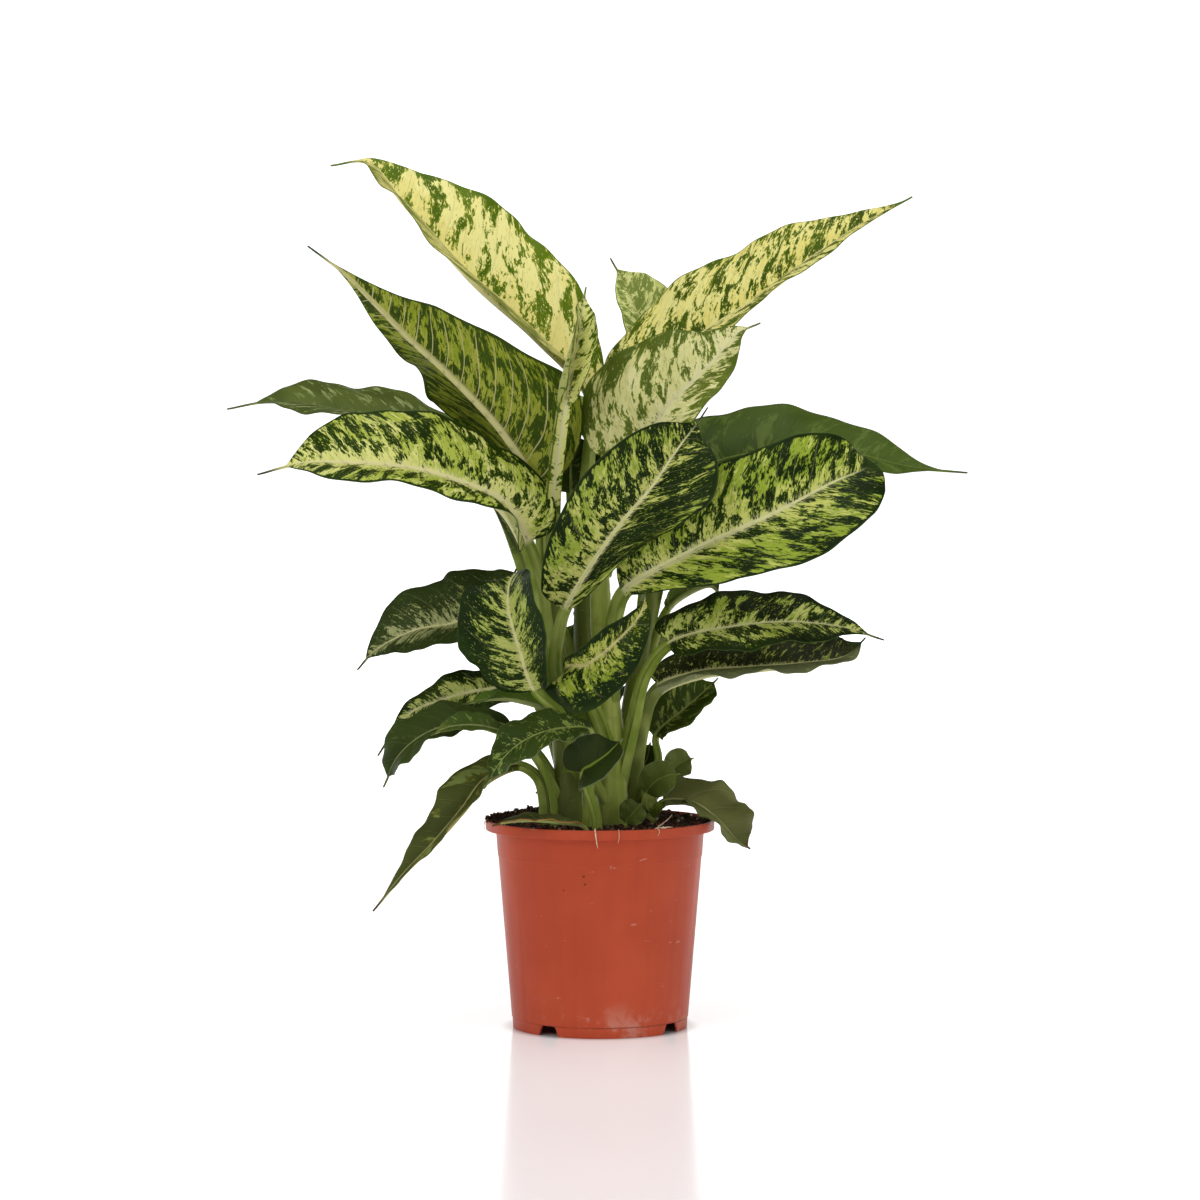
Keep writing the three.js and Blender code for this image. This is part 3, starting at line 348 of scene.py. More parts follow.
LEAVES = {
    "leaf_top_left": dict(
        cane="cane_centre", start=385, stalk=[[-10, 2, 425], [-7, 8, 475]],
        blade=[
            [-6, 8, 522], [-49, -2, 570], [-102, -5, 616], [-160, 5, 680], [-192, 15, 715],
            [-223, 20, 713],
        ],
        width=134, face=[0.54, -0.54, 0.65], fold=31, fold_tip=31, shoulder=1.75, lobes=[-0.2, -0.5],
        halves=[1.23, 1.03],
    ),
    "leaf_top_right": dict(
        cane="cane_centre", start=400, stalk=[[4, 12, 440], [8, 26, 486]],
        blade=[
            [20, 34, 524], [67, 33, 562], [121, 22, 598], [171, 14, 634], [218, 10, 665], [258, 15, 687],
        ],
        width=118, face=[-0.49, -0.45, 0.74], fold=20, fold_tip=20, shoulder=1.9, taper=1.4, wide=0.31,
        roundness=1.9, tail=0.02, lobes=[-0.6, -0.5], halves=[1.1, 0.97], phase=1,
    ),
    "leaf_spear": dict(
        cane="cane_left", start=385, stalk=[[-38, -22, 436], [-32, -43, 490]],
        blade=[[-28, -52, 515], [-23, -58, 543], [-17, -56, 572], [-14, -51, 594], [-11, -46, 610]],
        width=48, face=[0.32, -0.95, 0], fold=58, curl=30, shoulder=1.5, lobes=[0, 0], rib_radius=5,
        root_radius=7, wave=0.5,
    ),
    "leaf_pale_centre": dict(
        cane="cane_centre", start=375, stalk=[[10, -26, 412], [20, -38, 444]],
        blade=[
            [34, -46, 473], [54, -55, 511], [74, -60, 532], [94, -60, 552], [111, -55, 572],
            [130, -50, 581],
        ],
        width=124, face=[-0.49, -0.73, 0.47], fold=23, shoulder=1.6, wide=0.26, roundness=2.1,
        lobes=[-0.9, -0.9], halves=[1.1, 0.93], phase=2,
    ),
    "leaf_small_top_back": dict(
        cane="cane_rear_right", start=350, stalk=[[54, 54, 410], [62, 74, 455]],
        blade=[[72, 88, 502], [52, 98, 550], [33, 105, 592], [17, 104, 626], [9, 100, 640]],
        width=72, face=[0.32, -0.85, 0.42], shoulder=2.6, wide=0.45, lobes=[-1.3, -0.3],
        halves=[0.76, 1.05],
    ),
    "leaf_dark_centre": dict(
        cane="cane_left", start=262, stalk=[[-38, -36, 300], [-34, -54, 328]],
        blade=[
            [-28, -66, 349], [-6, -75, 387], [19, -93, 422], [41, -103, 448], [62, -109, 479],
            [78, -110, 500], [86, -106, 512],
        ],
        width=90, face=[0, -1, 0.1], fold=22, shoulder=2.4, wide=0.52, roundness=1.7, lobes=[-1.2, 2.4],
        halves=[1.08, 1], rib_radius=4.5, phase=3,
    ),
    "leaf_big_right": dict(
        cane="cane_centre", start=262, stalk=[[8, -36, 318], [11, -50, 343]],
        blade=[
            [19, -61, 363], [73, -85, 396], [141, -95, 428], [187, -90, 452], [212, -78, 462],
            [225, -62, 468],
        ],
        width=114, face=[-0.1, -0.93, 0.35], fold=15, fold_tip=8, shoulder=2.5, taper=0.85, tail=0.02,
        wide=0.5, lobes=[-1, 1], halves=[0.95, 0.92], rib_radius=5.5, phase=4,
    ),
    "leaf_back_right": dict(
        cane="cane_rear_right", start=330, stalk=[[54, 46, 395], [64, 62, 432]],
        blade=[
            [77, 75, 456], [111, 90, 471], [160, 100, 477], [216, 110, 474], [264, 113, 463],
            [314, 112, 458],
        ],
        width=112, face=[0, -0.5, 0.86], fold=12, shoulder=2.3, taper=1.8, wide=0.34, roundness=2,
        lobes=[-1, -0.3], sweep=0.2, halves=[1.04, 1], phase=5,
    ),
    "leaf_upper_left": dict(
        cane="cane_left", start=330, stalk=[[-46, 2, 378], [-47, -2, 415]],
        blade=[
            [-50, -8, 447], [-80, -12, 495], [-124, -10, 541], [-157, -5, 570], [-185, 0, 598],
            [-213, 5, 625], [-241, 10, 646],
        ],
        width=132, face=[0.52, 0.68, 0.51], fold=24, fold_tip=20, shoulder=1.2, taper=1.35, wide=0.2,
        roundness=1.8, lobes=[-0.1, 0.8], halves=[1.1, 1.3], rib_radius=3.5, wave=8, waves=1.8,
        phase=0.81,
    ),
    "leaf_mid_left": dict(
        cane="cane_left", start=250, stalk=[[-42, -22, 322], [-49, -30, 370]],
        blade=[
            [-59, -35, 402], [-79, -40, 434], [-113, -50, 451], [-156, -58, 463], [-203, -60, 467],
            [-243, -52, 467], [-279, -45, 458],
        ],
        width=110, face=[0.09, -0.66, 0.75], fold=23, shoulder=2.4, taper=1, tail=0.1, wide=0.52,
        roundness=1.9, lobes=[-1.8, -1.2], halves=[0.65, 0.97], rib_radius=5.5, phase=2.5,
    ),
    "leaf_back_left": dict(
        cane="cane_left", start=262, stalk=[[-48, 12, 318], [-56, 14, 355]],
        blade=[
            [-67, 17, 393], [-91, 25, 444], [-141, 40, 491], [-217, 50, 511], [-278, 55, 518],
            [-313, 55, 512],
        ],
        width=96, face=[0.41, -0.31, 0.86], fold=13, shoulder=2.6, tail=0.08, wide=0.58, roundness=1.4,
        halves=[1.04, 1.04], phase=3.5, waves=4.4,
    ),
    "leaf_torn_left": dict(
        cane="cane_left", start=232, stalk=[[-44, -10, 290], [-50, -4, 330]],
        blade=[
            [-62, 0, 355], [-90, -3, 347], [-123, -5, 334], [-152, -5, 329], [-187, 0, 311],
            [-201, 0, 296],
        ],
        width=84, face=[-0.27, -0.69, 0.67], fold=20, wide=0.38, lobes=[-0.3, -1], halves=[0.8, 1.04],
        phase=4.5,
    ),
    "leaf_round_left": dict(
        cane="cane_left", start=196, stalk=[[-24, -40, 240], [-36, -62, 266]],
        blade=[[-53, -75, 284], [-64, -90, 317], [-73, -95, 350], [-73, -85, 369], [-68, -65, 382]],
        width=90, face=[-0.47, -0.88, 0.1], fold=35, phase=5.5,
    ),
    "leaf_front_centre": dict(
        cane="cane_centre", start=215, stalk=[[-1, -42, 255], [-12, -66, 280]],
        blade=[
            [-26, -85, 303], [-12, -96, 306], [0, -102, 314], [15, -106, 327], [31, -102, 345],
            [39, -90, 367],
        ],
        width=78, face=[0.1, -0.97, -0.2], fold=32, shoulder=1.6, taper=1.4, wide=0.36,
        lobes=[-0.4, -2.4], halves=[0.52, 0.86], phase=0.5,
    ),
    "leaf_lower_right": dict(
        cane="cane_centre", start=195, stalk=[[24, -26, 250], [36, -32, 295]],
        blade=[[56, -36, 320], [109, -45, 334], [155, -50, 338], [200, -45, 333], [232, -40, 323]],
        width=69, face=[-0.01, -0.63, 0.78], fold=9, shoulder=1.9, wide=0.36, roundness=2.3,
        lobes=[-1, -0.3], halves=[1.07, 1], phase=1.2,
    ),
    "leaf_dark_lower_right": dict(
        cane="cane_rear_right", start=177, stalk=[[27, 2, 222], [33, -8, 254], [38, -16, 272]],
        blade=[
            [47, -21, 284], [82, -25, 296], [126, -28, 300], [164, -28, 303], [202, -25, 309],
            [218, -20, 324],
        ],
        width=66, face=[-0.18, -0.42, 0.89], fold=15, shoulder=3.4, taper=0.9, tail=0.03, wide=0.46,
        roundness=2.3, lobes=[-0.9, 0.2], halves=[1.12, 0.6], rib_radius=5, root_radius=7, phase=2.2,
    ),
    "leaf_small_right": dict(
        cane="cane_small_right", start=190, stalk=[[48, 8, 222]],
        blade=[[46, 12, 240], [69, 5, 262], [88, 5, 279], [98, 8, 289]],
        width=54, face=[-0.3, -0.86, 0.41], curl=35, halves=[1, 1.22], rib_radius=2.5, root_radius=3.5,
        small=True,
    ),
    "leaf_tiny_back": dict(
        cane="cane_small_right", start=178, stalk=[[34, 16, 196]],
        blade=[[36, 22, 211], [40, 24, 223], [42, 25, 234]],
        width=24, face=[0, -0.98, 0.21], rib_radius=1.8, root_radius=2.5, wave=0.8, small=True,
    ),
    "leaf_tiny_right": dict(
        cane="cane_small_right", start=185, stalk=[[52, 3, 198]],
        blade=[[57, 7, 207], [66, 10, 217], [78, 10, 222]],
        width=28, face=[0, -0.98, 0.21], rib_radius=1.8, root_radius=2.5, wave=0.8, small=True,
    ),
    "leaf_tiny_front": dict(
        cane="cane_small_right", start=176, stalk=[[36, -16, 184]],
        blade=[[38, -22, 196], [46, -28, 206], [56, -30, 211], [66, -28, 212]],
        width=32, face=[0, -0.98, 0.21], rib_radius=1.8, root_radius=2.5, wave=1, small=True,
    ),
    "leaf_droop_right": dict(
        cane="cane_small_right", start=175, stalk=[[46, -9, 183]],
        blade=[
            [52, -12, 188], [69, -15, 189], [82, -20, 185], [98, -24, 173], [113, -24, 157],
            [124, -22, 150],
        ],
        width=74, face=[0.36, -0.47, 0.81], fold=20, shoulder=3, taper=0.8, tail=0.03, wide=0.44,
        roundness=2.1, halves=[0.89, 0.4], rib_radius=3, root_radius=3.5, small=True,
    ),
    "leaf_at_soil": dict(
        stalk=[[20, -46, ROOT_DEPTH], [20, -47, 168]],
        blade=[[21, -48, 174], [27, -50, 182], [34, -50, 190]],
        width=26, face=[0, -0.91, 0.41], rib_radius=1.6, root_radius=2, wave=1, small=True,
    ),
    "leaf_round_front": dict(
        stalk=[[-3, -60, ROOT_DEPTH], [-5, -64, 182]],
        blade=[[-14, -72, 217], [-6, -81, 224], [6, -85, 233], [18, -79, 245]],
        width=56, face=[-0.5, -0.82, 0.25], shoulder=2.4, wide=0.28, roundness=3, lobes=[-0.5, -0.5],
        halves=[0.87, 0.78], rib_radius=3, root_radius=4, wave=1.5, small=True,
    ),
    "leaf_low_front": dict(
        stalk=[[-9, -40, ROOT_DEPTH], [-8, -46, 190], [-5, -58, 230]],
        blade=[[-8, -66, 251], [-31, -75, 253], [-55, -85, 247], [-75, -88, 233], [-94, -85, 205]],
        width=48, face=[-0.36, -0.64, 0.68], fold=12, rib_radius=3, root_radius=4, small=True,
    ),
    "leaf_bright_tip": dict(
        cane="cane_centre", start=180, stalk=[[-8, -32, 218]],
        blade=[[-14, -40, 246], [-34, -48, 263], [-60, -52, 273], [-83, -52, 276], [-113, -50, 271]],
        width=44, face=[0.21, 0.7, 0.68], face_tip=[0.19, -0.5, 0.85], rib_radius=3, root_radius=4,
        small=True,
    ),
    "leaf_marbled_left": dict(
        cane="cane_left", start=205, stalk=[[-42, -2, 250]],
        blade=[
            [-60, 4, 279], [-98, -3, 279], [-131, -8, 271], [-154, -8, 262], [-172, -6, 243],
            [-184, -5, 225],
        ],
        width=82, face=[-0.25, -0.77, 0.59], fold=12, shoulder=1.35, taper=1.3, wide=0.33,
        halves=[0.62, 0.54], phase=3.2,
    ),
    "leaf_dark_low_left": dict(
        cane="cane_left", start=185, stalk=[[-48, -24, 226]],
        blade=[[-72, -33, 250], [-102, -43, 256], [-140, -51, 248], [-164, -52, 229], [-177, -50, 203]],
        width=56, face=[-0.36, -0.5, 0.79], fold=15, shoulder=2.8, taper=1, wide=0.5, lobes=[0.9, -0.3],
        halves=[0.93, 1], phase=4.2,
    ),
    "leaf_light_small": dict(
        stalk=[[-35, -38, ROOT_DEPTH], [-38, -41, 200], [-54, -47, 234]],
        blade=[[-75, -57, 247], [-101, -71, 255], [-123, -79, 254], [-137, -81, 248]],
        width=25, face=[-0.03, -0.64, 0.77], rib_radius=2, root_radius=3, wave=1, small=True,
    ),
    "leaf_long_droop": dict(
        stalk=[[-43, -20, ROOT_DEPTH], [-43, -20, 188], [-50, -22, 210]],
        blade=[
            [-67, -28, 220], [-95, -38, 208], [-113, -46, 185], [-137, -50, 157], [-159, -48, 134],
            [-186, -44, 101],
        ],
        width=58, face=[-0.54, -0.64, 0.54], fold=32, fold_tip=30, shoulder=1.4, wide=0.3,
        halves=[0.6, 0.82], rib_radius=3.5, root_radius=6, phase=5.2,
    ),
    "leaf_fading_rim": dict(
        stalk=[[-8, -68, ROOT_DEPTH], [-9, -71, 168]],
        blade=[[-14, -76, 175], [-31, -81, 178], [-55, -84, 180], [-75, -88, 179], [-87, -90, 176]],
        width=26, face=[0, -0.12, 0.99], fold=15, rib_radius=1.5, root_radius=2, wave=1, small=True,
    ),
    "leaf_tiny_left": dict(
        stalk=[[-34, 28, ROOT_DEPTH], [-36, 29, 176]],
        blade=[[-38, 31, 187], [-46, 34, 192], [-54, 35, 191]],
        width=16, face=[0, -0.51, 0.86], rib_radius=1.2, root_radius=1.5, wave=0.5, small=True,
    ),
    "leaf_inner_high": dict(
        cane="cane_rear_left", start=370, stalk=[[-22, 32, 415]],
        blade=[[-24, 33, 442], [-24, 30, 469], [-20, 30, 494]],
        width=56, face=[0, -0.95, 0.32], small=True,
    ),
    "leaf_under_right": dict(
        cane="cane_rear_right", start=262, stalk=[[44, 34, 320]],
        blade=[[55, 37, 346], [76, 40, 360], [93, 40, 364], [102, 38, 355]],
        width=45, face=[-0.1, 0.26, 0.96], rib_radius=3, root_radius=4, small=True,
    ),
    "leaf_inner_low": dict(
        cane="cane_rear_left", start=235, stalk=[[-20, 46, 276]],
        blade=[[-24, 55, 296], [-34, 64, 308], [-46, 74, 319]],
        width=60, face=[0, -0.53, 0.85], rib_radius=3, root_radius=4, small=True,
    ),
    "leaf_rear_high": dict(
        cane="cane_rear_left", start=350, stalk=[[-8, 48, 415], [0, 62, 450]],
        blade=[[5, 82, 477], [14, 130, 503], [18, 190, 503], [20, 245, 481]],
        width=105, face=[0, 0.2, 0.98], phase=1.8,
    ),
    "leaf_rear_right": dict(
        cane="cane_rear_right", start=300, stalk=[[38, 62, 365], [44, 78, 405]],
        blade=[[52, 100, 430], [80, 145, 440], [110, 190, 430], [133, 228, 400]],
        width=100, face=[0.1, 0.2, 0.98], phase=2.8,
    ),
    "leaf_rear_left": dict(
        cane="cane_rear_left", start=275, stalk=[[-28, 46, 318], [-37, 60, 338]],
        blade=[[-50, 76, 350], [-77, 120, 350], [-100, 165, 331], [-116, 200, 298]],
        width=85, face=[-0.19, 0.19, 0.96], phase=3.8,
    ),
    "leaf_rear_low_right": dict(
        cane="cane_rear_right", start=205, stalk=[[30, 44, 255], [33, 58, 282]],
        blade=[[38, 76, 300], [56, 115, 315], [87, 155, 312], [119, 190, 289]],
        width=80, face=[0.1, 0.2, 0.98], phase=4.8,
    ),
    "leaf_rear_low": dict(
        cane="cane_rear_left", start=180, stalk=[[-10, 50, 222]],
        blade=[[-6, 66, 246], [-8, 110, 258], [-16, 150, 246], [-21, 182, 212]],
        width=75, face=[0, 0.2, 0.98], phase=5.8,
    ),
}

print("canes:", len(CANES), "leaves:", len(LEAVES))

# %% [markdown]
# ## The shape of a leaf
# A real blade is a thin sheet on a thick midrib. It folds up from the midrib like a shallow keel, its
# margin waves because it grows faster than the middle, and its side veins leave the midrib at about sixty
# degrees and sweep towards the tip. The sheet is worked out row by row along the midrib. Columns are
# close together at the midrib, whose underside bulges, and at the margin, which is thin. The stalk is the
# same sheet before the blade opens: a channel above and a round back below.

# %% Leaf surface
SPAN_STEPS = 24
MIDRIB_SHARE = 0.3
BLADE_THICKNESS = 0.7
VEIN_SLANT = 0.45
VEIN_BEND = 0.004
VEIN_SPACING = 9.0


def blade_outline(leaf, u):
    """Half width as a share of the widest: a rounded rise up to wide, then a fall that the shoulder power
    keeps full and the taper power draws out, ending before the tip by the tail."""
    rise = np.clip(u / leaf["wide"], 0, 1)
    fall = np.clip((u - leaf["wide"]) / (1 - leaf["tail"] - leaf["wide"]), 0, 1)
    near = (1 - (1 - rise) ** leaf["roundness"]) ** (1 / leaf["roundness"])
    far = (1 - fall ** leaf["shoulder"]) ** leaf["taper"]
    return np.where(u < leaf["wide"], near, far)


def leaf_rows(leaf, stalk_rows, blade_rows):
    """Stations along the stalk and midrib: length s, blade share u, middle, and the directions along, up and
    across. Up is the leaf's face, made square to the path and carried back down the stalk without twist."""
    stalk = list(leaf["stalk"])
    if leaf["cane"]:
        cane_path = smooth_path(CANES[leaf["cane"]]["path"])
        root = [np.interp(leaf["start"], cane_path[:, 2], cane_path[:, axis]) for axis in range(3)]
        stalk.insert(0, root)
    path = smooth_path([*stalk, *leaf["blade"]], SPAN_STEPS)
    lengths = lengths_along(path)
    base = lengths[SPAN_STEPS * len(stalk)]
    v = np.linspace(0, 1, blade_rows + 1)
    eased = 0.45 * (0.5 - 0.5 * np.cos(np.pi * v)) + 0.55 * v
    on_stalk = np.linspace(0, base, stalk_rows, endpoint=False)
    s = np.concatenate([on_stalk, base + eased * (lengths[-1] - base)])
    u = np.clip((s - base) / (lengths[-1] - base), 0, 1)
    ahead = at_lengths(path, lengths, np.minimum(s + 1.5, lengths[-1]))
    behind = at_lengths(path, lengths, np.maximum(s - 1.5, 0))
    along = unit(ahead - behind)
    face = unit(np.array(leaf["face"], dtype=float))
    face_tip = unit(np.array(leaf["face_tip"] or leaf["face"], dtype=float))
    up = face + (face_tip - face) * u[:, None]
    up = unit(up - np.sum(up * along, axis=1, keepdims=True) * along)
    for row in range(stalk_rows - 1, -1, -1):
        up[row] = unit(up[row + 1] - np.dot(up[row + 1], along[row]) * along[row])
    middle = at_lengths(path, lengths, s)
    return s, base, u, middle, along, up, np.cross(along, up)


def leaf_surface(leaf, stalk_rows, blade_rows, half_columns):
    """Points of the upper and the lower side, and what the paint reads at each point.

    Across a row, q runs from 0 at the midrib to 1 at the margin. A point lies half_width * q out, turned
    up by the fold, lifted by the arch 4q(1 - q) of each half and by the margin's wave q^1.5 sin(u), and
    moved along the midrib by the reach, which draws the base lobes back and the tip forward. The lower
    side lies one blade thickness below it, plus a round back of 1.6 rib radii at the midrib."""
    s, base, u, middle, along, up, across = leaf_rows(leaf, stalk_rows, blade_rows)
    t = np.linspace(-1, 1, 2 * half_columns + 1)
    side = np.where(t > 0, 1, -1)
    second = (t > 0).astype(int)
    halves = np.array(leaf["halves"])[second]
    lobes = np.array(leaf["lobes"])[second]
    outline = np.where(s <= base, 0, blade_outline(leaf, u))[:, None]
    opened = np.minimum(1, 1.5 * outline)
    climb = np.clip(s / base, 0, 1)
    thin = leaf["rib_radius"] + (leaf["root_radius"] - leaf["rib_radius"]) * (1 - climb) ** 1.5
    thinnest = 0.9 - 0.55 * u ** 8
    rib = np.maximum(thinnest, np.where(s < base, thin, leaf["rib_radius"] * (1 - u) ** 0.8))[:, None]
    half_width = (rib ** 4 + (leaf["width"] / 2 * outline * halves) ** 4) ** 0.25
    inner = np.minimum(0.6, 1.25 * rib / half_width)
    share = np.abs(t)[None, :]
    outer = 1 - (1 - np.clip((share - MIDRIB_SHARE) / (1 - MIDRIB_SHARE), 0, 1)) ** 1.5
    q = np.where(share < MIDRIB_SHARE, share / MIDRIB_SHARE * inner, inner + (1 - inner) * outer)
    fold_tip = leaf["fold"] * 0.7 if leaf["fold_tip"] is None else leaf["fold_tip"]
    fold = np.radians(leaf["fold"] + (fold_tip - leaf["fold"]) * u)[:, None]
    fold = 0.25 + (fold - 0.25) * opened
    curl = np.radians(max(leaf["curl"], 0.1)) * opened
    curl = np.maximum(curl, 1e-3)
    angle = fold + curl * q
    outward = half_width * (np.sin(angle) - np.sin(fold)) / curl
    lift = half_width * (np.cos(fold) - np.cos(angle)) / curl
    distance = half_width * q
    reach = lobes + (leaf["sweep"] - lobes) * np.sqrt(u)[:, None]
    shift = reach * distance * np.minimum(1, 2 * outline)
    vein = (s - base)[:, None] - VEIN_SLANT * distance - VEIN_BEND * distance ** 2
    turn = 2 * np.pi * leaf["waves"] * u[:, None] + leaf["phase"] + 2.1 * second
    wave = leaf["wave"] * q ** 1.5 * outline * np.sin(turn)
    ripple = 0.3 * leaf["wave"] * q ** 3 * outline * np.sin(2.6 * turn + 1.3)
    between = 4 * q * (1 - q) * outline
    arch = 0.028 * leaf["width"] * between
    quilt = 0.28 * between * np.cos(2 * np.pi * vein / VEIN_SPACING) * min(1, leaf["width"] / 90)

    def along_frame(across_mm, up_mm, along_mm):
        return (across[:, None] * across_mm[..., None] + up[:, None] * up_mm[..., None]
                + along[:, None] * along_mm[..., None])

    top = middle[:, None] + along_frame(side * outward, lift + wave + ripple + arch + quilt, shift)
    back = 1.6 * rib * np.sqrt(np.clip(1 - (distance / rib) ** 2, 0, None))
    depth = BLADE_THICKNESS + back
    bottom = top - along_frame(-side * np.sin(angle) * depth, np.cos(angle) * depth, 0 * depth)
    stalk_share = np.where(s < base, climb - 1, u)[:, None] + 0 * q
    veins = np.stack([vein, distance, side + 0 * q], axis=-1)
    under = np.stack([stalk_share, q, np.ones_like(q)], axis=-1)
    over = np.stack([stalk_share, q, np.zeros_like(q)], axis=-1)
    return top, bottom, veins, over, under


def leaf_faces(rows, columns):
    """The upper grid, the lower grid turned over, a strip down each margin, and a cap at each end."""
    lower = rows * columns
    grid = grid_faces(rows, columns)
    row = np.arange(rows - 1)
    near = row * columns
    far = near + columns - 1
    column = np.arange(columns - 1)
    tip = (rows - 1) * columns + column
    return [
        grid,
        lower + grid[:, ::-1],
        np.stack([near, near + columns, near + columns + lower, near + lower], axis=1),
        np.stack([far, far + lower, far + columns + lower, far + columns], axis=1),
        np.stack([column, column + lower, column + 1 + lower, column + 1], axis=1),
        np.stack([tip, tip + 1, tip + 1 + lower, tip + lower], axis=1),
    ]

# %% [markdown]
# ## How a leaf is painted
# The markings of this plant are patches where the leaf makes little green. They are stretched along the
# side veins, frayed at their ends, gather near the midrib and stay off the margin. So the pattern isn't
# laid on from outside: it is noise read in the leaf's own directions, which each point carries as an
# attribute: the place along the midrib where its vein starts, and its distance from the midrib. A
# threshold turns the noise into patches, and more noise breaks their edges.

# %% Leaf looks
OLIVE_BACK = linear(78, 96, 32)
STALK_GREEN = linear(112, 130, 46)
STALK_PALE = linear(178, 188, 104)
DRY_BROWN = linear(92, 70, 40)
VEIN_WANDER = 8.0
FINE_RELIEF = 0.0004

PLAIN_LOOK = dict(
    dark=linear(30, 48, 7), deep=linear(21, 37, 5), middle=linear(98, 120, 30),
    light=linear(150, 168, 56), pale=linear(190, 196, 98), midrib=linear(216, 214, 156), back=OLIVE_BACK,
    stalk=STALK_GREEN, patch=7.5, stretch=1.9, fray=0.56, fray_stretch=2.4, cover=0.515, heart=0.0,
    heart_reach=16, gather=0.24, second=0.0, turned=0.0, rim=0.26, rim_start=0.93, ends=0.06, specks=0.65,
    flecks=0.6, rib=1.9, bleed=3.0, veins=0.3, vein_gap=17.0, edge=linear(44, 62, 22), sheath=0.0, dry=0.0,
    gloss=0.36, backing=0.5, base=0.0,
)
LOOKS = {
    "cream": dict(
        dark=linear(96, 120, 18), deep=linear(80, 106, 14), middle=linear(150, 162, 50),
        light=linear(246, 239, 158), pale=linear(244, 233, 146), midrib=linear(236, 228, 164),
        patch=12.0, stretch=1.5, fray=0.42, fray_stretch=1.5, cover=0.47, rim=0.08, rim_start=0.80,
        ends=0.05, specks=1.0, flecks=0.25, rib=1.6, veins=0.10, edge=linear(88, 112, 34),
        back=linear(150, 148, 72), stalk=linear(126, 144, 66), bleed=1.0,
    ),
    "pale": dict(
        dark=linear(98, 112, 36), deep=linear(84, 100, 31), middle=linear(146, 158, 72),
        light=linear(216, 213, 142), pale=linear(226, 222, 162), midrib=linear(222, 218, 172),
        patch=9.0, stretch=1.8, fray=0.40, cover=0.473, gather=0.28, rim=0.12, rim_start=0.62, ends=0.05,
        specks=0.7, flecks=0.3, rib=2.2, veins=0.12, edge=linear(90, 110, 44), stalk=STALK_PALE,
    ),
    "lime": dict(),
    "feather": dict(
        patch=5.0, stretch=3.2, fray=0.46, cover=0.565, heart=0.10, heart_reach=26, rim=0.28, rim_start=0.52,
        light=linear(150, 164, 66), pale=linear(186, 192, 106),
    ),
    "plain": dict(
        dark=linear(58, 72, 26), deep=linear(48, 62, 22), middle=linear(62, 78, 28), cover=0.95, specks=0.0,
        rib=0.7, bleed=0.0, midrib=linear(112, 128, 60), edge=linear(112, 122, 82), back=linear(70, 84, 40),
        veins=0.1,
    ),
    "dull": dict(
        dark=linear(84, 102, 44), deep=linear(70, 88, 36), middle=linear(94, 112, 50),
        light=linear(116, 132, 66), pale=linear(128, 142, 76), midrib=linear(152, 162, 100),
        cover=0.66, patch=6.0, stretch=3.0, fray=0.25, rib=1.2, bleed=0.0, veins=0.3, specks=0.0, flecks=0.1,
        edge=linear(80, 94, 44),
    ),
}
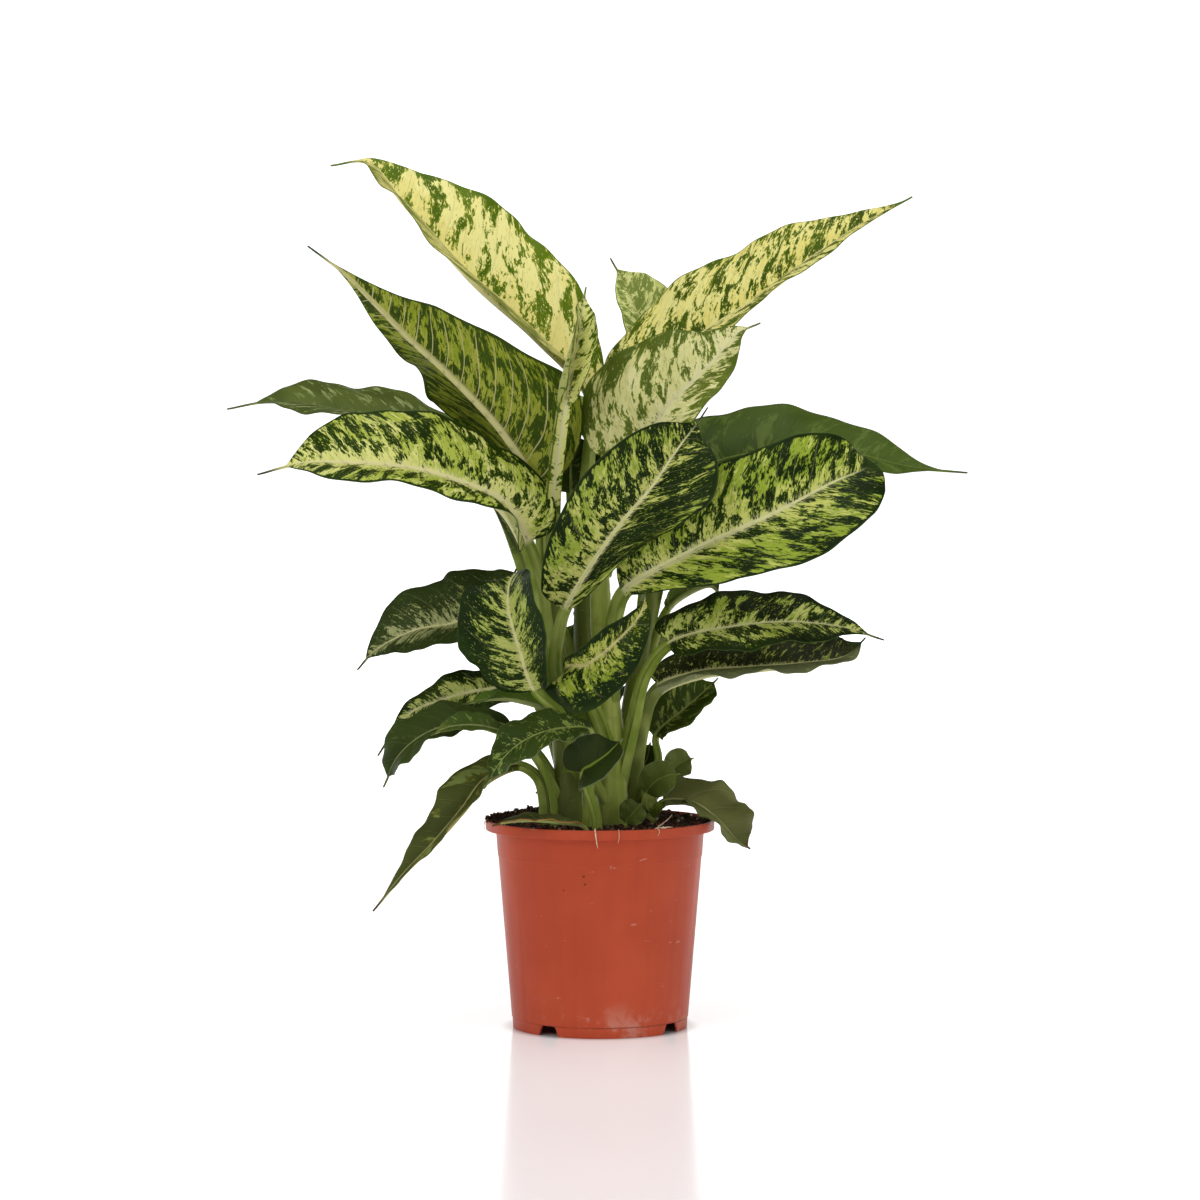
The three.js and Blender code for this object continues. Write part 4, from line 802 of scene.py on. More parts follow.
LEAF_LOOKS = {
    "leaf_top_left": ("cream", dict(
        turned=-0.75, rim=0.10, rim_start=0.74, patch=13.0, cover=0.460, gather=0.3,
    )),
    "leaf_top_right": ("cream", dict(
        cover=0.487, dark=linear(78, 98, 22), deep=linear(64, 84, 16), gather=0.26,
        light=linear(243, 236, 152), pale=linear(240, 228, 132), rim=0.02, patch=9.0, stretch=1.8,
    )),
    "leaf_spear": ("pale", dict(
        patch=11.0, cover=0.49, rib=0.8, sheath=0.62, rim=0.06, stretch=1.2, middle=linear(128, 146, 44),
        dark=linear(70, 92, 12), deep=linear(62, 84, 10), light=linear(218, 220, 126),
        pale=linear(222, 222, 136),
    )),
    "leaf_pale_centre": ("pale", {}),
    "leaf_small_top_back": ("cream", dict(
        light=linear(206, 213, 124), dark=linear(136, 152, 74), cover=0.53, pale=linear(232, 234, 156),
        deep=linear(128, 145, 68), patch=6.0, rim=-0.08, middle=linear(150, 164, 82), specks=0.0, rib=0.5,
        midrib=linear(196, 200, 128),
    )),
    "leaf_dark_centre": ("lime", dict(
        dark=linear(26, 42, 6), deep=linear(19, 33, 4), cover=0.556, second=-0.04,
        light=linear(148, 164, 62), pale=linear(194, 196, 108), patch=8.0, specks=1.0,
    )),
    "leaf_big_right": ("lime", dict(
        patch=7.8, rib=2.4, cover=0.518, light=linear(150, 170, 56), bleed=5.0, ends=0.12,
        pale=linear(202, 206, 108), gather=0.28,
    )),
    "leaf_back_right": ("dull", dict(
        dark=linear(82, 102, 38), deep=linear(68, 88, 30), cover=0.56, rib=0.8,
        light=linear(100, 120, 52), pale=linear(106, 124, 56), patch=10.0, middle=linear(90, 110, 44),
        fray=0.15, edge=linear(70, 86, 34), midrib=linear(128, 144, 66),
    )),
    "leaf_upper_left": ("lime", dict(
        dark=linear(47, 66, 10), deep=linear(38, 54, 8), light=linear(150, 162, 46), backing=0.22,
        pale=linear(172, 176, 70), back=linear(80, 98, 20), middle=linear(92, 110, 22),
        midrib=linear(204, 198, 138), rib=1.1, veins=0.8, patch=10.0, stretch=1.4, specks=0.4, gather=0.3,
    )),
    "leaf_mid_left": ("lime", dict(
        dark=linear(40, 60, 8), deep=linear(31, 48, 6), light=linear(184, 197, 82),
        pale=linear(228, 228, 140), middle=linear(104, 124, 36), cover=0.52, rib=3.2,
        midrib=linear(234, 228, 172), heart=0.10, heart_reach=14, ends=0, patch=9.0, bleed=5.0,
    )),
    "leaf_back_left": ("dull", dict(
        dark=linear(100, 114, 50), deep=linear(84, 98, 40), light=linear(168, 178, 116), cover=0.575,
    )),
    "leaf_torn_left": ("feather", dict(
        rib=1.6, dark=linear(54, 68, 28), deep=linear(46, 58, 23), cover=0.585,
        light=linear(140, 150, 84), pale=linear(170, 174, 120), heart_reach=24, middle=linear(78, 88, 40),
    )),
    "leaf_round_left": ("feather", dict(
        cover=0.572, light=linear(166, 178, 90), heart_reach=34, rib=1.6,
    )),
    "leaf_front_centre": ("feather", dict(
        cover=0.614, patch=3.8, specks=0.9, light=linear(138, 156, 48), pale=linear(186, 188, 96),
        heart=0.05, heart_reach=34, base=0.10, dark=linear(42, 58, 15), bleed=2.0, rib=1.3,
        midrib=linear(210, 204, 140),
    )),
    "leaf_lower_right": ("lime", dict(
        patch=9.0, cover=0.53, dark=linear(32, 48, 10), deep=linear(22, 34, 6),
        light=linear(166, 182, 74), pale=linear(204, 210, 118), rib=1.1, rim=0.2, rim_start=0.6,
    )),
    "leaf_dark_lower_right": ("lime", dict(
        patch=5.0, cover=0.60, dark=linear(50, 58, 26), deep=linear(38, 44, 20),
        light=linear(140, 146, 78), back=linear(140, 146, 102), veins=0.1, turned=0.9,
        stalk=linear(104, 114, 56), middle=linear(74, 82, 36), specks=0.4, backing=0.8,
    )),
    "leaf_small_right": ("dull", dict(
        dark=linear(66, 84, 24), deep=linear(54, 70, 20), light=linear(150, 160, 76),
        middle=linear(90, 106, 38), cover=0.57, heart=0.03, midrib=linear(150, 158, 84),
    )),
    "leaf_tiny_back": ("plain", {}),
    "leaf_tiny_right": ("plain", dict(dark=linear(104, 114, 56), deep=linear(90, 102, 48))),
    "leaf_tiny_front": ("plain", dict(dark=linear(90, 102, 42), deep=linear(76, 88, 34))),
    "leaf_droop_right": ("dull", dict(
        dark=linear(114, 118, 68), deep=linear(94, 98, 52), cover=0.95, dry=0.05, rib=1.4,
        midrib=linear(170, 168, 112),
    )),
    "leaf_at_soil": ("plain", dict(dark=linear(84, 96, 40), deep=linear(74, 86, 34))),
    "leaf_round_front": ("plain", dict(
        dark=linear(44, 56, 20), deep=linear(32, 44, 14), rib=1.3, midrib=linear(122, 142, 52),
    )),
    "leaf_low_front": ("plain", dict(
        dark=linear(60, 77, 28), deep=linear(50, 65, 24), cover=0.63, heart=0.06,
        light=linear(118, 138, 58), pale=linear(142, 158, 80), patch=5.0, rib=1.0,
        midrib=linear(148, 162, 86),
    )),
    "leaf_bright_tip": ("dull", dict(dark=linear(84, 112, 36), light=linear(124, 144, 62), patch=4.5)),
    "leaf_marbled_left": ("feather", dict(
        cover=0.60, rib=1.4, heart_reach=18, dark=linear(44, 58, 16), light=linear(140, 152, 72),
    )),
    "leaf_dark_low_left": ("dull", dict(
        dark=linear(62, 76, 32), deep=linear(50, 62, 26), light=linear(90, 104, 48),
        middle=linear(74, 88, 38),
    )),
    "leaf_light_small": ("dull", dict(dark=linear(92, 106, 42), light=linear(120, 134, 62))),
    "leaf_long_droop": ("dull", dict(
        dark=linear(80, 88, 38), deep=linear(70, 77, 32), light=linear(136, 130, 46),
        middle=linear(108, 110, 42), cover=0.62, patch=22, stretch=1.5, fray=0.12, rib=1.0,
        midrib=linear(186, 178, 116), dry=0.03, edge=linear(90, 94, 48),
    )),
    "leaf_fading_rim": ("dull", dict(
        dark=linear(80, 86, 46), deep=linear(62, 66, 32), edge=linear(190, 124, 60), dry=0.08,
    )),
    "leaf_tiny_left": ("dull", {}),
    "leaf_inner_high": ("dull", dict(dark=linear(50, 66, 16), deep=linear(40, 54, 12))),
    "leaf_under_right": ("dull", dict(dark=linear(72, 88, 32), cover=0.95)),
    "leaf_inner_low": ("dull", dict(dark=linear(66, 84, 34))),
    "leaf_rear_high": ("lime", dict(cover=0.50)),
    "leaf_rear_right": ("lime", dict(patch=8.0, cover=0.53)),
    "leaf_rear_left": ("feather", {}),
    "leaf_rear_low_right": ("feather", dict(rib=1.6)),
    "leaf_rear_low": ("feather", dict(cover=0.66)),
}


# %% Leaf paint
def leaf_paint(name, seed):
    """Patches, specks, midrib, side veins, margin, underside and stalk, mixed one over the other."""
    style, own = LEAF_LOOKS[name]
    look = {**PLAIN_LOOK, **LOOKS[style], **own}
    size = look["patch"] * min(1.0, (LEAVES[name]["width"] / 90)) ** 0.5
    paint = Paint(name + "_paint")
    vein, distance, side = paint.parts(paint.attribute("vein"))
    u, q, under = paint.parts(paint.attribute("leaf"))
    seeded = paint.math("MULTIPLY_ADD", side, 9.3, 17.7 * seed)

    def stretched(width, length, offset):
        return paint.joined(paint.math("DIVIDE", vein, width), paint.math("DIVIDE", distance, length),
                            paint.math("ADD", seeded, offset))

    long = size * look["stretch"]
    patches = paint.noise(stretched(size, long, 0), 1, detail=4, roughness=0.66, distortion=0.5)
    small = size * 0.25
    frays = paint.noise(stretched(small, small * look["fray_stretch"], 31), 1, detail=3, roughness=0.7)
    gather = paint.noise(stretched(22, 30, 44), 1, detail=1)
    value = paint.math("MULTIPLY_ADD", paint.math("SUBTRACT", frays, 0.5), look["fray"], patches)
    value = paint.math("MULTIPLY_ADD", paint.math("SUBTRACT", gather, 0.5), look["gather"], value)
    value = paint.math("MULTIPLY_ADD", side, look["second"], value)
    value = paint.math("ADD", value, paint.step(distance, 0, look["heart_reach"], look["heart"], 0))
    value = paint.math("SUBTRACT", value, paint.step(q, look["rim_start"], 1, 0, look["rim"]))
    value = paint.math("SUBTRACT", value, paint.step(u, 0.72, 1, 0, look["ends"]))
    value = paint.math("ADD", value, paint.step(u, 0.04, -0.1, 0, look["sheath"] * 0.1))
    value = paint.math("ADD", value, paint.step(u, 0.55, 0.15, 0, look["base"]))
    cover = look["cover"]
    slow = paint.noise(stretched(45, 45, 5), 1, detail=1)
    dark = paint.blend(paint.step(slow, 0.4, 0.6), look["deep"], look["dark"])
    near = paint.math("MULTIPLY_ADD", paint.step(distance, 26, 4, 0, 0.3), 1, slow)
    mottled = paint.noise(stretched(size * 0.5, size, 63), 1, detail=1.5)
    near = paint.math("MULTIPLY_ADD", paint.math("SUBTRACT", mottled, 0.5), 1.3, near)
    light = paint.blend(paint.step(near, 0.42, 0.80), look["light"], look["pale"])
    color = paint.blend(paint.step(value, cover - 0.065, cover - 0.01, 0, 0.85), dark, look["middle"])
    dots = paint.noise(stretched(1.3, 2.0, 53), 1, detail=1)
    speck = paint.step(dots, 0.64, 0.70, 0, look["specks"])
    color = paint.blend(paint.times(speck, paint.step(q, 0.97, 0.8)), color, look["light"])
    color = paint.blend(paint.step(value, cover - 0.006, cover + 0.006), color, light)
    marks = paint.noise(stretched(1.1, 4.5, 71), 1, detail=1)
    fleck = paint.step(marks, 0.60, 0.68, 0, look["flecks"])
    fleck = paint.times(fleck, paint.step(distance, 1, 6))
    color = paint.blend(fleck, color, dark)

    bent = paint.noise(stretched(30, 30, 12), 1, detail=0)
    veins = paint.math("MULTIPLY_ADD", bent, VEIN_WANDER, vein)
    cycle = paint.math("FRACT", paint.math("DIVIDE", veins, look["vein_gap"]))
    from_line = paint.math("ABSOLUTE", paint.math("SUBTRACT", cycle, 0.5))
    from_line = paint.times(from_line, look["vein_gap"])
    line = paint.times(paint.step(from_line, 0.8, 0.2), paint.step(q, 0.97, 0.7))
    color = paint.blend(paint.times(line, look["veins"] * 0.3), color, look["midrib"])
    width = paint.step(u, 0.0, 1.0, look["rib"], look["rib"] * 0.25)
    past_rib = paint.math("SUBTRACT", distance, width)
    rib_mask = paint.times(paint.step(past_rib, 0.5, -0.2), paint.step(u, 0.96, 0.80))
    bleed = paint.times(paint.step(past_rib, look["bleed"], 0), paint.step(marks, 0.47, 0.55))
    bleed = paint.times(bleed, paint.step(u, 0.9, 0.6))
    color = paint.blend(paint.times(bleed, 0.8), color, look["midrib"])
    color = paint.blend(rib_mask, color, look["midrib"])
    color = paint.blend(paint.step(q, 0.972, 0.99, 0, 0.9), color, look["edge"])

    back = paint.blend(look["backing"], color, look["back"])
    half = paint.times(side, math.copysign(1, look["turned"]))
    half = paint.step(half, -0.2, 0.2, 0, abs(look["turned"]))
    color = paint.blend(paint.times(half, paint.step(past_rib, 0, 1)), color, back)
    back = paint.blend(paint.times(line, look["veins"]), back, look["midrib"])
    back_rib = paint.step(paint.math("SUBTRACT", distance, look["rib"]), 1.5, 0.3)
    back = paint.blend(back_rib, back, look["midrib"])
    color = paint.blend(under, color, back)
    color = paint.blend(paint.step(u, 0.90, 0.97), color, look["edge"])

    upwards = paint.joined(paint.math("DIVIDE", vein, 32), paint.math("DIVIDE", distance, 9), seeded)
    grown = paint.noise(upwards, 1, detail=1)
    stalk = paint.blend(paint.step(grown, 0.40, 0.75, 0, 0.7), look["stalk"], STALK_PALE)
    stalk = paint.blend(paint.step(u, -0.35, -1.0, 0, 0.45), stalk, STALK_GREEN)
    # Painted highlight: the middle of each stalk, away from its two edges, is paler, as light falls on a
    # round stalk.
    stalk = paint.blend(paint.step(q, 0.8, 0.1, 0, 0.4), stalk, STALK_PALE)
    color = paint.blend(paint.step(u, 0.015 - look["sheath"], -0.02 - 1.3 * look["sheath"]), color, stalk)
    if look["dry"]:
        color = paint.blend(paint.step(u, 0.97 - look["dry"], 1 - look["dry"]), color, DRY_BROWN)

    fine = paint.noise(stretched(1.0, 7.0, 90), 1, detail=1)
    height = paint.math("MULTIPLY_ADD", line, -0.8, paint.times(fine, 0.5))
    paint.bump(paint.times(height, paint.step(u, -0.06, 0.02)), FINE_RELIEF)
    rough = paint.step(fine, 0.2, 0.8, look["gloss"], look["gloss"] + 0.14)
    return paint.finish(color, paint.math("MULTIPLY_ADD", under, 0.12, rough), Specular_IOR_Level=0.08)

# %% Make the leaves
SHARP_ANGLE = 50
LARGE_GRID = (26, 116, 17)
SMALL_GRID = (14, 56, 10)

triangles = 0
for seed, (name, sizes) in enumerate(LEAVES.items()):
    leaf = {**TYPICAL, **sizes}
    stalk_rows, blade_rows, half_columns = SMALL_GRID if leaf["small"] else LARGE_GRID
    top, bottom, veins, over, under = leaf_surface(leaf, stalk_rows, blade_rows, half_columns)
    rows, columns = top.shape[:2]
    points = np.concatenate([top.reshape(-1, 3), bottom.reshape(-1, 3)])
    attributes = {"vein": np.concatenate([veins, veins]), "leaf": np.concatenate([over, under])}
    faces = leaf_faces(rows, columns)
    finish = leaf_paint(name, seed)
    piece = add_piece(name + "_blade", points, faces, finish, attributes, SHARP_ANGLE)
    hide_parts(name)
    triangles += 2 * sum(len(group) for group in faces)
print("leaves:", len(LEAVES), "triangles:", triangles)

# %% [markdown]
# ## Canes
# A cane is a fleshy upright stem. Each old leaf leaves a ring-shaped scar round it, and between the scars
# it is smooth and green, more olive towards the soil. A tube along a path is enough: the scars are a
# small rise and fall of the radius, and the paint does the rest.

# %% Cane surface and paint
CANE_ROWS = 90
CANE_SIDES = 40
SCAR_SPACING = 17.0


def cane_surface(cane):
    """Rings round the path, whose radius falls evenly from soil to top. A scar is a low ridge where the
    length s, tilted by 2 sin(turn + s / 11), comes to the middle of its spacing."""
    path = smooth_path(cane["path"])
    lengths = lengths_along(path)
    s = np.linspace(0, lengths[-1], CANE_ROWS)
    middle = at_lengths(path, lengths, s)
    along = unit(np.gradient(middle, axis=0))
    side = np.array([1.0, 0, 0]) - along[:, :1] * along
    side = unit(side)
    front = np.cross(along, side)
    share = s[:, None] / lengths[-1]
    turn = np.linspace(0, 2 * np.pi, CANE_SIDES, endpoint=False)[None, :]
    tilted = s[:, None] + 2 * np.sin(turn + s[:, None] / 11)
    from_scar = np.abs((tilted / SCAR_SPACING) % 1 - 0.5) * SCAR_SPACING
    radius = cane["radius"][0] + (cane["radius"][1] - cane["radius"][0]) * share
    radius = radius + 0.5 * np.exp(-(from_scar / 1.1) ** 2) - 0.25 * np.exp(-((from_scar - 2.2) / 1.3) ** 2)
    ring = np.cos(turn)[..., None] * side[:, None] + np.sin(turn)[..., None] * front[:, None]
    points = middle[:, None] + radius[..., None] * ring
    poles = [middle[0], middle[-1] + along[-1] * cane["radius"][1] * 0.4]
    scars = np.stack([from_scar, 0 * turn + s[:, None], 0 * from_scar], axis=-1).reshape(-1, 3)
    scars = np.vstack([scars, [[SCAR_SPACING, s[0], 0], [SCAR_SPACING, s[-1], 0]]])
    return np.vstack([points.reshape(-1, 3), poles]), scars, CANE_ROWS, CANE_SIDES


def cane_paint():
    """Green flesh with long soft streaks and blotches and thin broken scars, olive towards the soil, and
    darker on the left and at the back, where the leaves keep the light off."""
    paint = Paint("cane_green")
    place = paint.place()
    x, y, z = paint.parts(place)
    from_scar = paint.parts(paint.attribute("scar"))[0]
    streaks = paint.noise(paint.joined(paint.times(x, 110), paint.times(y, 110),
                                       paint.times(z, 9)), 1, detail=3)
    blotches = paint.noise(place, 55, detail=4)
    color = paint.blend(paint.step(streaks, 0.35, 0.65), linear(136, 150, 56), linear(172, 180, 92))
    color = paint.blend(paint.step(blotches, 0.5, 0.7, 0, 0.35), color, linear(98, 112, 40))
    color = paint.blend(paint.step(x, -0.008, -0.022, 0, 0.65), color, linear(56, 66, 22))
    color = paint.blend(paint.step(y, 0.005, 0.02, 0, 0.6), color, linear(56, 66, 22))
    scar = paint.times(paint.step(from_scar, 0.7, 0.2, 0, 0.55), paint.step(blotches, 0.42, 0.55))
    color = paint.blend(scar, color, linear(138, 132, 84))
    low = paint.math("ADD", z, paint.times(blotches, 0.03))
    color = paint.blend(paint.step(low, 0.210, 0.175, 0, 0.7), color, linear(100, 104, 44))
    paint.bump(paint.math("MULTIPLY_ADD", blotches, 0.6, streaks), FINE_RELIEF)
    return paint.finish(color, paint.step(blotches, 0.2, 0.8, 0.34, 0.48), Specular_IOR_Level=0.18)


cane_finish = cane_paint()
for name, cane in CANES.items():
    points, scars, rows, columns = cane_surface(cane)
    ring = np.arange(columns)
    faces = [grid_faces(rows, columns, around=True), fan_faces(ring[::-1], rows * columns),
             fan_faces((rows - 1) * columns + ring, rows * columns + 1)]
    piece = add_piece(name + "_stem", points, faces, cane_finish, {"scar": scars})
    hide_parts(name)
print("canes:", len(CANES))

# %% [markdown]
# ## Pot
# A nursery pot is moulded in one piece: a tapered cup with a rolled rim, a short skirt under a raised
# floor, and notches in the skirt that let water out. It is a turned shape, so its section is given once,
# each corner is rounded, and the section is carried round. In a notch the skirt's lower edge is simply
# lifted. Drain holes pierce the floor, which a turned grid can't show, so they are cut with a Boolean
# whose result is kept as plain mesh.

# %% Pot surface
POT_HEIGHT = 172.0
RIM_RADIUS = 95.0
RIM_HEIGHT = 8.2
NECK_RADIUS = 86.2
FOOT_RADIUS = 72.2
SKIRT_HEIGHT = 8.6
SKIRT_STEP = 0.9
WALL = 1.6
STEP_LEVEL = 142.5
CENTRE_FOOT = 14.0
NOTCHES = (-36, 54, 144, 234)
NOTCH_HEIGHT = 8.3
NOTCH_BOTTOM = 20.0
NOTCH_TOP = 13.6
DRAINS = 8
DRAIN_RADIUS = 4.5
DRAIN_RING = 46.0
POT_COLUMNS = 360

RIM_FLOOR = POT_HEIGHT - RIM_HEIGHT
FLOOR_TOP = SKIRT_HEIGHT + WALL
NECK_RISE = (STEP_LEVEL - SKIRT_HEIGHT) / (RIM_FLOOR - SKIRT_HEIGHT)
STEP_RADIUS = FOOT_RADIUS + SKIRT_STEP + (NECK_RADIUS - FOOT_RADIUS - SKIRT_STEP) * NECK_RISE
POT_SECTION = [
    (CENTRE_FOOT, 0, 0.8),
    (CENTRE_FOOT, SKIRT_HEIGHT, 0.8),
    (FOOT_RADIUS - 2 * WALL, SKIRT_HEIGHT, 0.5),
    (FOOT_RADIUS - WALL, 0, 0.4),
    (FOOT_RADIUS, 0, 0.6),
    (FOOT_RADIUS + 0.4, SKIRT_HEIGHT - 0.2, 0.2),
    (FOOT_RADIUS + SKIRT_STEP, SKIRT_HEIGHT + 0.4, 0.5),
    (STEP_RADIUS - 0.15, STEP_LEVEL - 0.4, 0.3),
    (STEP_RADIUS + 0.3, STEP_LEVEL + 0.3, 0.3),
    (NECK_RADIUS, RIM_FLOOR - 0.4, 0.7),
    (RIM_RADIUS - 0.3, RIM_FLOOR, 1.2),
    (RIM_RADIUS, POT_HEIGHT, 1.3),
    (RIM_RADIUS - WALL - 0.6, POT_HEIGHT, 0.8),
    (RIM_RADIUS - WALL - 1, RIM_FLOOR + WALL + 0.6, 1.2),
    (NECK_RADIUS - WALL, RIM_FLOOR + WALL - 0.6, 1.2),
    (FOOT_RADIUS + SKIRT_STEP - WALL, FLOOR_TOP + 2, 1.0),
    (FOOT_RADIUS - 2 * WALL, FLOOR_TOP, 1.0),
]


def rounded_section(section, steps=5):
    """Each corner becomes a curve (1-w)^2 a + 2w(1-w) corner + w^2 b, from a point a before it to b after
    it. The first corner stays sharp, because the pole of the underside starts there."""
    places = np.array([(radius, z) for radius, z, _ in section])
    rows = [places[0]]
    following = np.vstack([places[2:], [[0, FLOOR_TOP]]])
    sizes = [size for _, _, size in section[1:]]
    for before, here, after, size in zip(places, places[1:], following, sizes):
        back = min(size, 0.45 * np.linalg.norm(here - before))
        ahead = min(size, 0.45 * np.linalg.norm(after - here))
        start = here + unit(before - here) * back
        end = here + unit(after - here) * ahead
        w = np.linspace(0, 1, steps)[:, None]
        rows.extend((1 - w) ** 2 * start + 2 * w * (1 - w) * here + w ** 2 * end)
    return np.array(rows)


def pot_surface():
    """The section carried round. In a notch a skirt point at height z moves up by lift * (1 - z / top),
    where lift falls from the notch's height to nothing between its top width and its bottom width."""
    section = rounded_section(POT_SECTION)
    turn = np.linspace(0, 2 * np.pi, POT_COLUMNS, endpoint=False)
    radius = np.repeat(section[:, :1], POT_COLUMNS, axis=1)
    z = np.repeat(section[:, 1:], POT_COLUMNS, axis=1)
    centres = np.radians(np.array(NOTCHES))[:, None]
    apart = np.abs((turn[None, :] - centres + np.pi) % (2 * np.pi) - np.pi) * FOOT_RADIUS
    apart = apart.min(axis=0)
    lift = NOTCH_HEIGHT * np.clip((NOTCH_BOTTOM / 2 - apart) / (NOTCH_BOTTOM / 2 - NOTCH_TOP / 2), 0, 1)
    skirt = (radius > FOOT_RADIUS - 2 * WALL) & (z < SKIRT_HEIGHT)
    z = z + np.where(skirt, lift[None, :] * (1 - z / SKIRT_HEIGHT), 0)
    x = radius * np.cos(turn)[None, :]
    y = radius * np.sin(turn)[None, :]
    points = np.stack([x, y, z], axis=-1).reshape(-1, 3)
    poles = [[0, 0, 0], [0, 0, FLOOR_TOP]]
    return np.vstack([points, poles]), len(section)


def pot_paint():
    """Moulded plastic: nearly even orange-red with faint upright streaks, small scuffs and specks, a dark
    line of painted shade under the step above the skirt, and dust near the foot."""
    paint = Paint("terracotta_plastic")
    place = paint.place()
    x, y, z = paint.parts(place)
    cloudy = paint.noise(place, 9, detail=3)
    color = paint.blend(paint.step(cloudy, 0.35, 0.65), linear(182, 71, 42), linear(194, 80, 49))
    turned = paint.math("ARCTAN2", y, x)
    drawn = paint.joined(paint.times(turned, 2.2), paint.times(z, 1.5), 0)
    streaks = paint.noise(drawn, 4, detail=2)
    color = paint.blend(paint.step(streaks, 0.4, 0.7, 0, 0.2), color, linear(166, 66, 40))
    dusty = paint.noise(place, 38, detail=5, roughness=0.7)
    low = paint.step(z, 0.035, 0.006)
    dust = paint.times(paint.step(dusty, 0.50, 0.66), paint.times(low, 0.55))
    color = paint.blend(dust, color, linear(206, 150, 132))
    scratches = paint.noise(paint.joined(paint.times(x, 60), paint.times(y, 60),
                                         paint.times(z, 220)), 1, detail=4, distortion=1.2)
    scuff = paint.step(scratches, 0.69, 0.74, 0, 0.5)
    color = paint.blend(scuff, color, linear(214, 160, 140))
    specks = paint.cells(place, 130)
    scattered = paint.step(paint.noise(place, 16, detail=1), 0.68, 0.72)
    speck = paint.times(paint.step(specks, 0.16, 0.10, 0, 0.85), scattered)
    color = paint.blend(speck, color, linear(84, 34, 24))
    # Painted shade: a thin dark line where the wall steps out over the skirt.
    from_step = paint.math("ABSOLUTE", paint.math("SUBTRACT", z, SKIRT_HEIGHT * MM))
    step_shade = paint.step(from_step, 0.0009, 0.0003, 0, 0.5)
    color = paint.blend(paint.times(step_shade, paint.step(cloudy, 0.4, 0.6)), color, linear(96, 36, 26))
    fine = paint.noise(place, 700, detail=2)
    paint.bump(paint.math("MULTIPLY_ADD", cloudy, 3.0, paint.times(fine, 0.1)), FINE_RELIEF)
    rough = paint.step(streaks, 0.2, 0.8, 0.34, 0.46)
    return paint.finish(color, paint.math("MULTIPLY_ADD", dust, 0.4, rough), Specular_IOR_Level=0.18)


points, rows = pot_surface()
ring = np.arange(POT_COLUMNS)
faces = [grid_faces(rows, POT_COLUMNS, around=True)[:, ::-1], fan_faces(ring, rows * POT_COLUMNS)[:, ::-1],
         fan_faces((rows - 1) * POT_COLUMNS + ring, rows * POT_COLUMNS + 1)]
pot = add_piece("pot_moulded", points, faces, pot_paint())
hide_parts("pot")


# %% Cut the drain holes
def cut(piece, cutters):
    """A Boolean difference kept as plain mesh. The cutters are deleted."""
    for cutter in cutters:
        modifier = piece.modifiers.new("cut", "BOOLEAN")
        modifier.operation = "DIFFERENCE"
        modifier.solver = "EXACT"
        modifier.object = cutter
    evaluated = piece.evaluated_get(bpy.context.evaluated_depsgraph_get())
    mesh = bpy.data.meshes.new_from_object(evaluated)
    piece.modifiers.clear()
    piece.data = mesh
    for cutter in cutters:
        bpy.data.objects.remove(cutter)


def drain_cutter(number):
    turn = 2 * np.pi * (number + 0.5) / DRAINS
    around = np.linspace(0, 2 * np.pi, 32, endpoint=False)
    x = DRAIN_RING * np.cos(turn) + DRAIN_RADIUS * np.cos(around)
    y = DRAIN_RING * np.sin(turn) + DRAIN_RADIUS * np.sin(around)
    low = np.stack([x, y, np.full(32, SKIRT_HEIGHT - 4)], axis=1)
    high = np.stack([x, y, np.full(32, FLOOR_TOP + 4)], axis=1)
    middle = [DRAIN_RING * np.cos(turn), DRAIN_RING * np.sin(turn)]
    points = np.vstack([low, high, [[*middle, SKIRT_HEIGHT - 4], [*middle, FLOOR_TOP + 4]]])
    ring = np.arange(32)
    faces = [grid_faces(2, 32, around=True), fan_faces(ring, 64)[:, ::-1], fan_faces(32 + ring, 65)]
    mesh = bpy.data.meshes.new(f"drain_cutter_{number}")
    mesh.from_pydata((points * MM).tolist(), [], [face for group in faces for face in group.tolist()])
    cutter = bpy.data.objects.new(mesh.name, mesh)
    bpy.context.collection.objects.link(cutter)
    return cutter


cut(pot, [drain_cutter(number) for number in range(DRAINS)])
pot.data.set_sharp_from_angle(angle=math.radians(40))
print("pot faces:", len(pot.data.polygons))

# %% [markdown]
# ## Soil
# Potting mix is peat with bark crumbs and white grains of perlite. It fills the pot to just under the
# rim, is heaped up at the back left, and some of it has spilled over the rim there. The body is a polar
# grid with lumps of several sizes. On it lie loose crumbs: one small deformed icosahedron, copied with
# numpy at seeded places, because twenty faces are enough for a crumb of two millimetres.

# %% Soil surface
SOIL_LEVEL = 169.2
SOIL_TILT = 1.5
MOUND = (-50, 58)
MOUND_HEIGHT = 6.0
MOUND_SPREAD = 26.0
SOIL_RADIUS = RIM_RADIUS - WALL - 1.3
SOIL_ROWS = 74
SOIL_COLUMNS = 220
SOIL_GAP = 0.3
SOIL_WAVES = ((34, 1.0, 0.4), (19, 0.8, 1.3), (9.5, 0.6, 2.2), (5.2, 0.45, 0.9), (3.1, 0.3, 2.7))


def lumps(x, y):
    """Uneven ground from sines that cross each other, finer and lower at each step."""
    height = 0.0
    for size, rise, turn in SOIL_WAVES:
        along = x * np.cos(turn) + y * np.sin(turn)
        across = y * np.cos(turn) - x * np.sin(turn)
        bend = np.sin(across / size * 2.1 + turn)
        crest = np.sin(2 * np.pi * along / size + 1.7 * bend) * np.cos(2 * np.pi * across / size)
        height = height + rise * crest
    return height


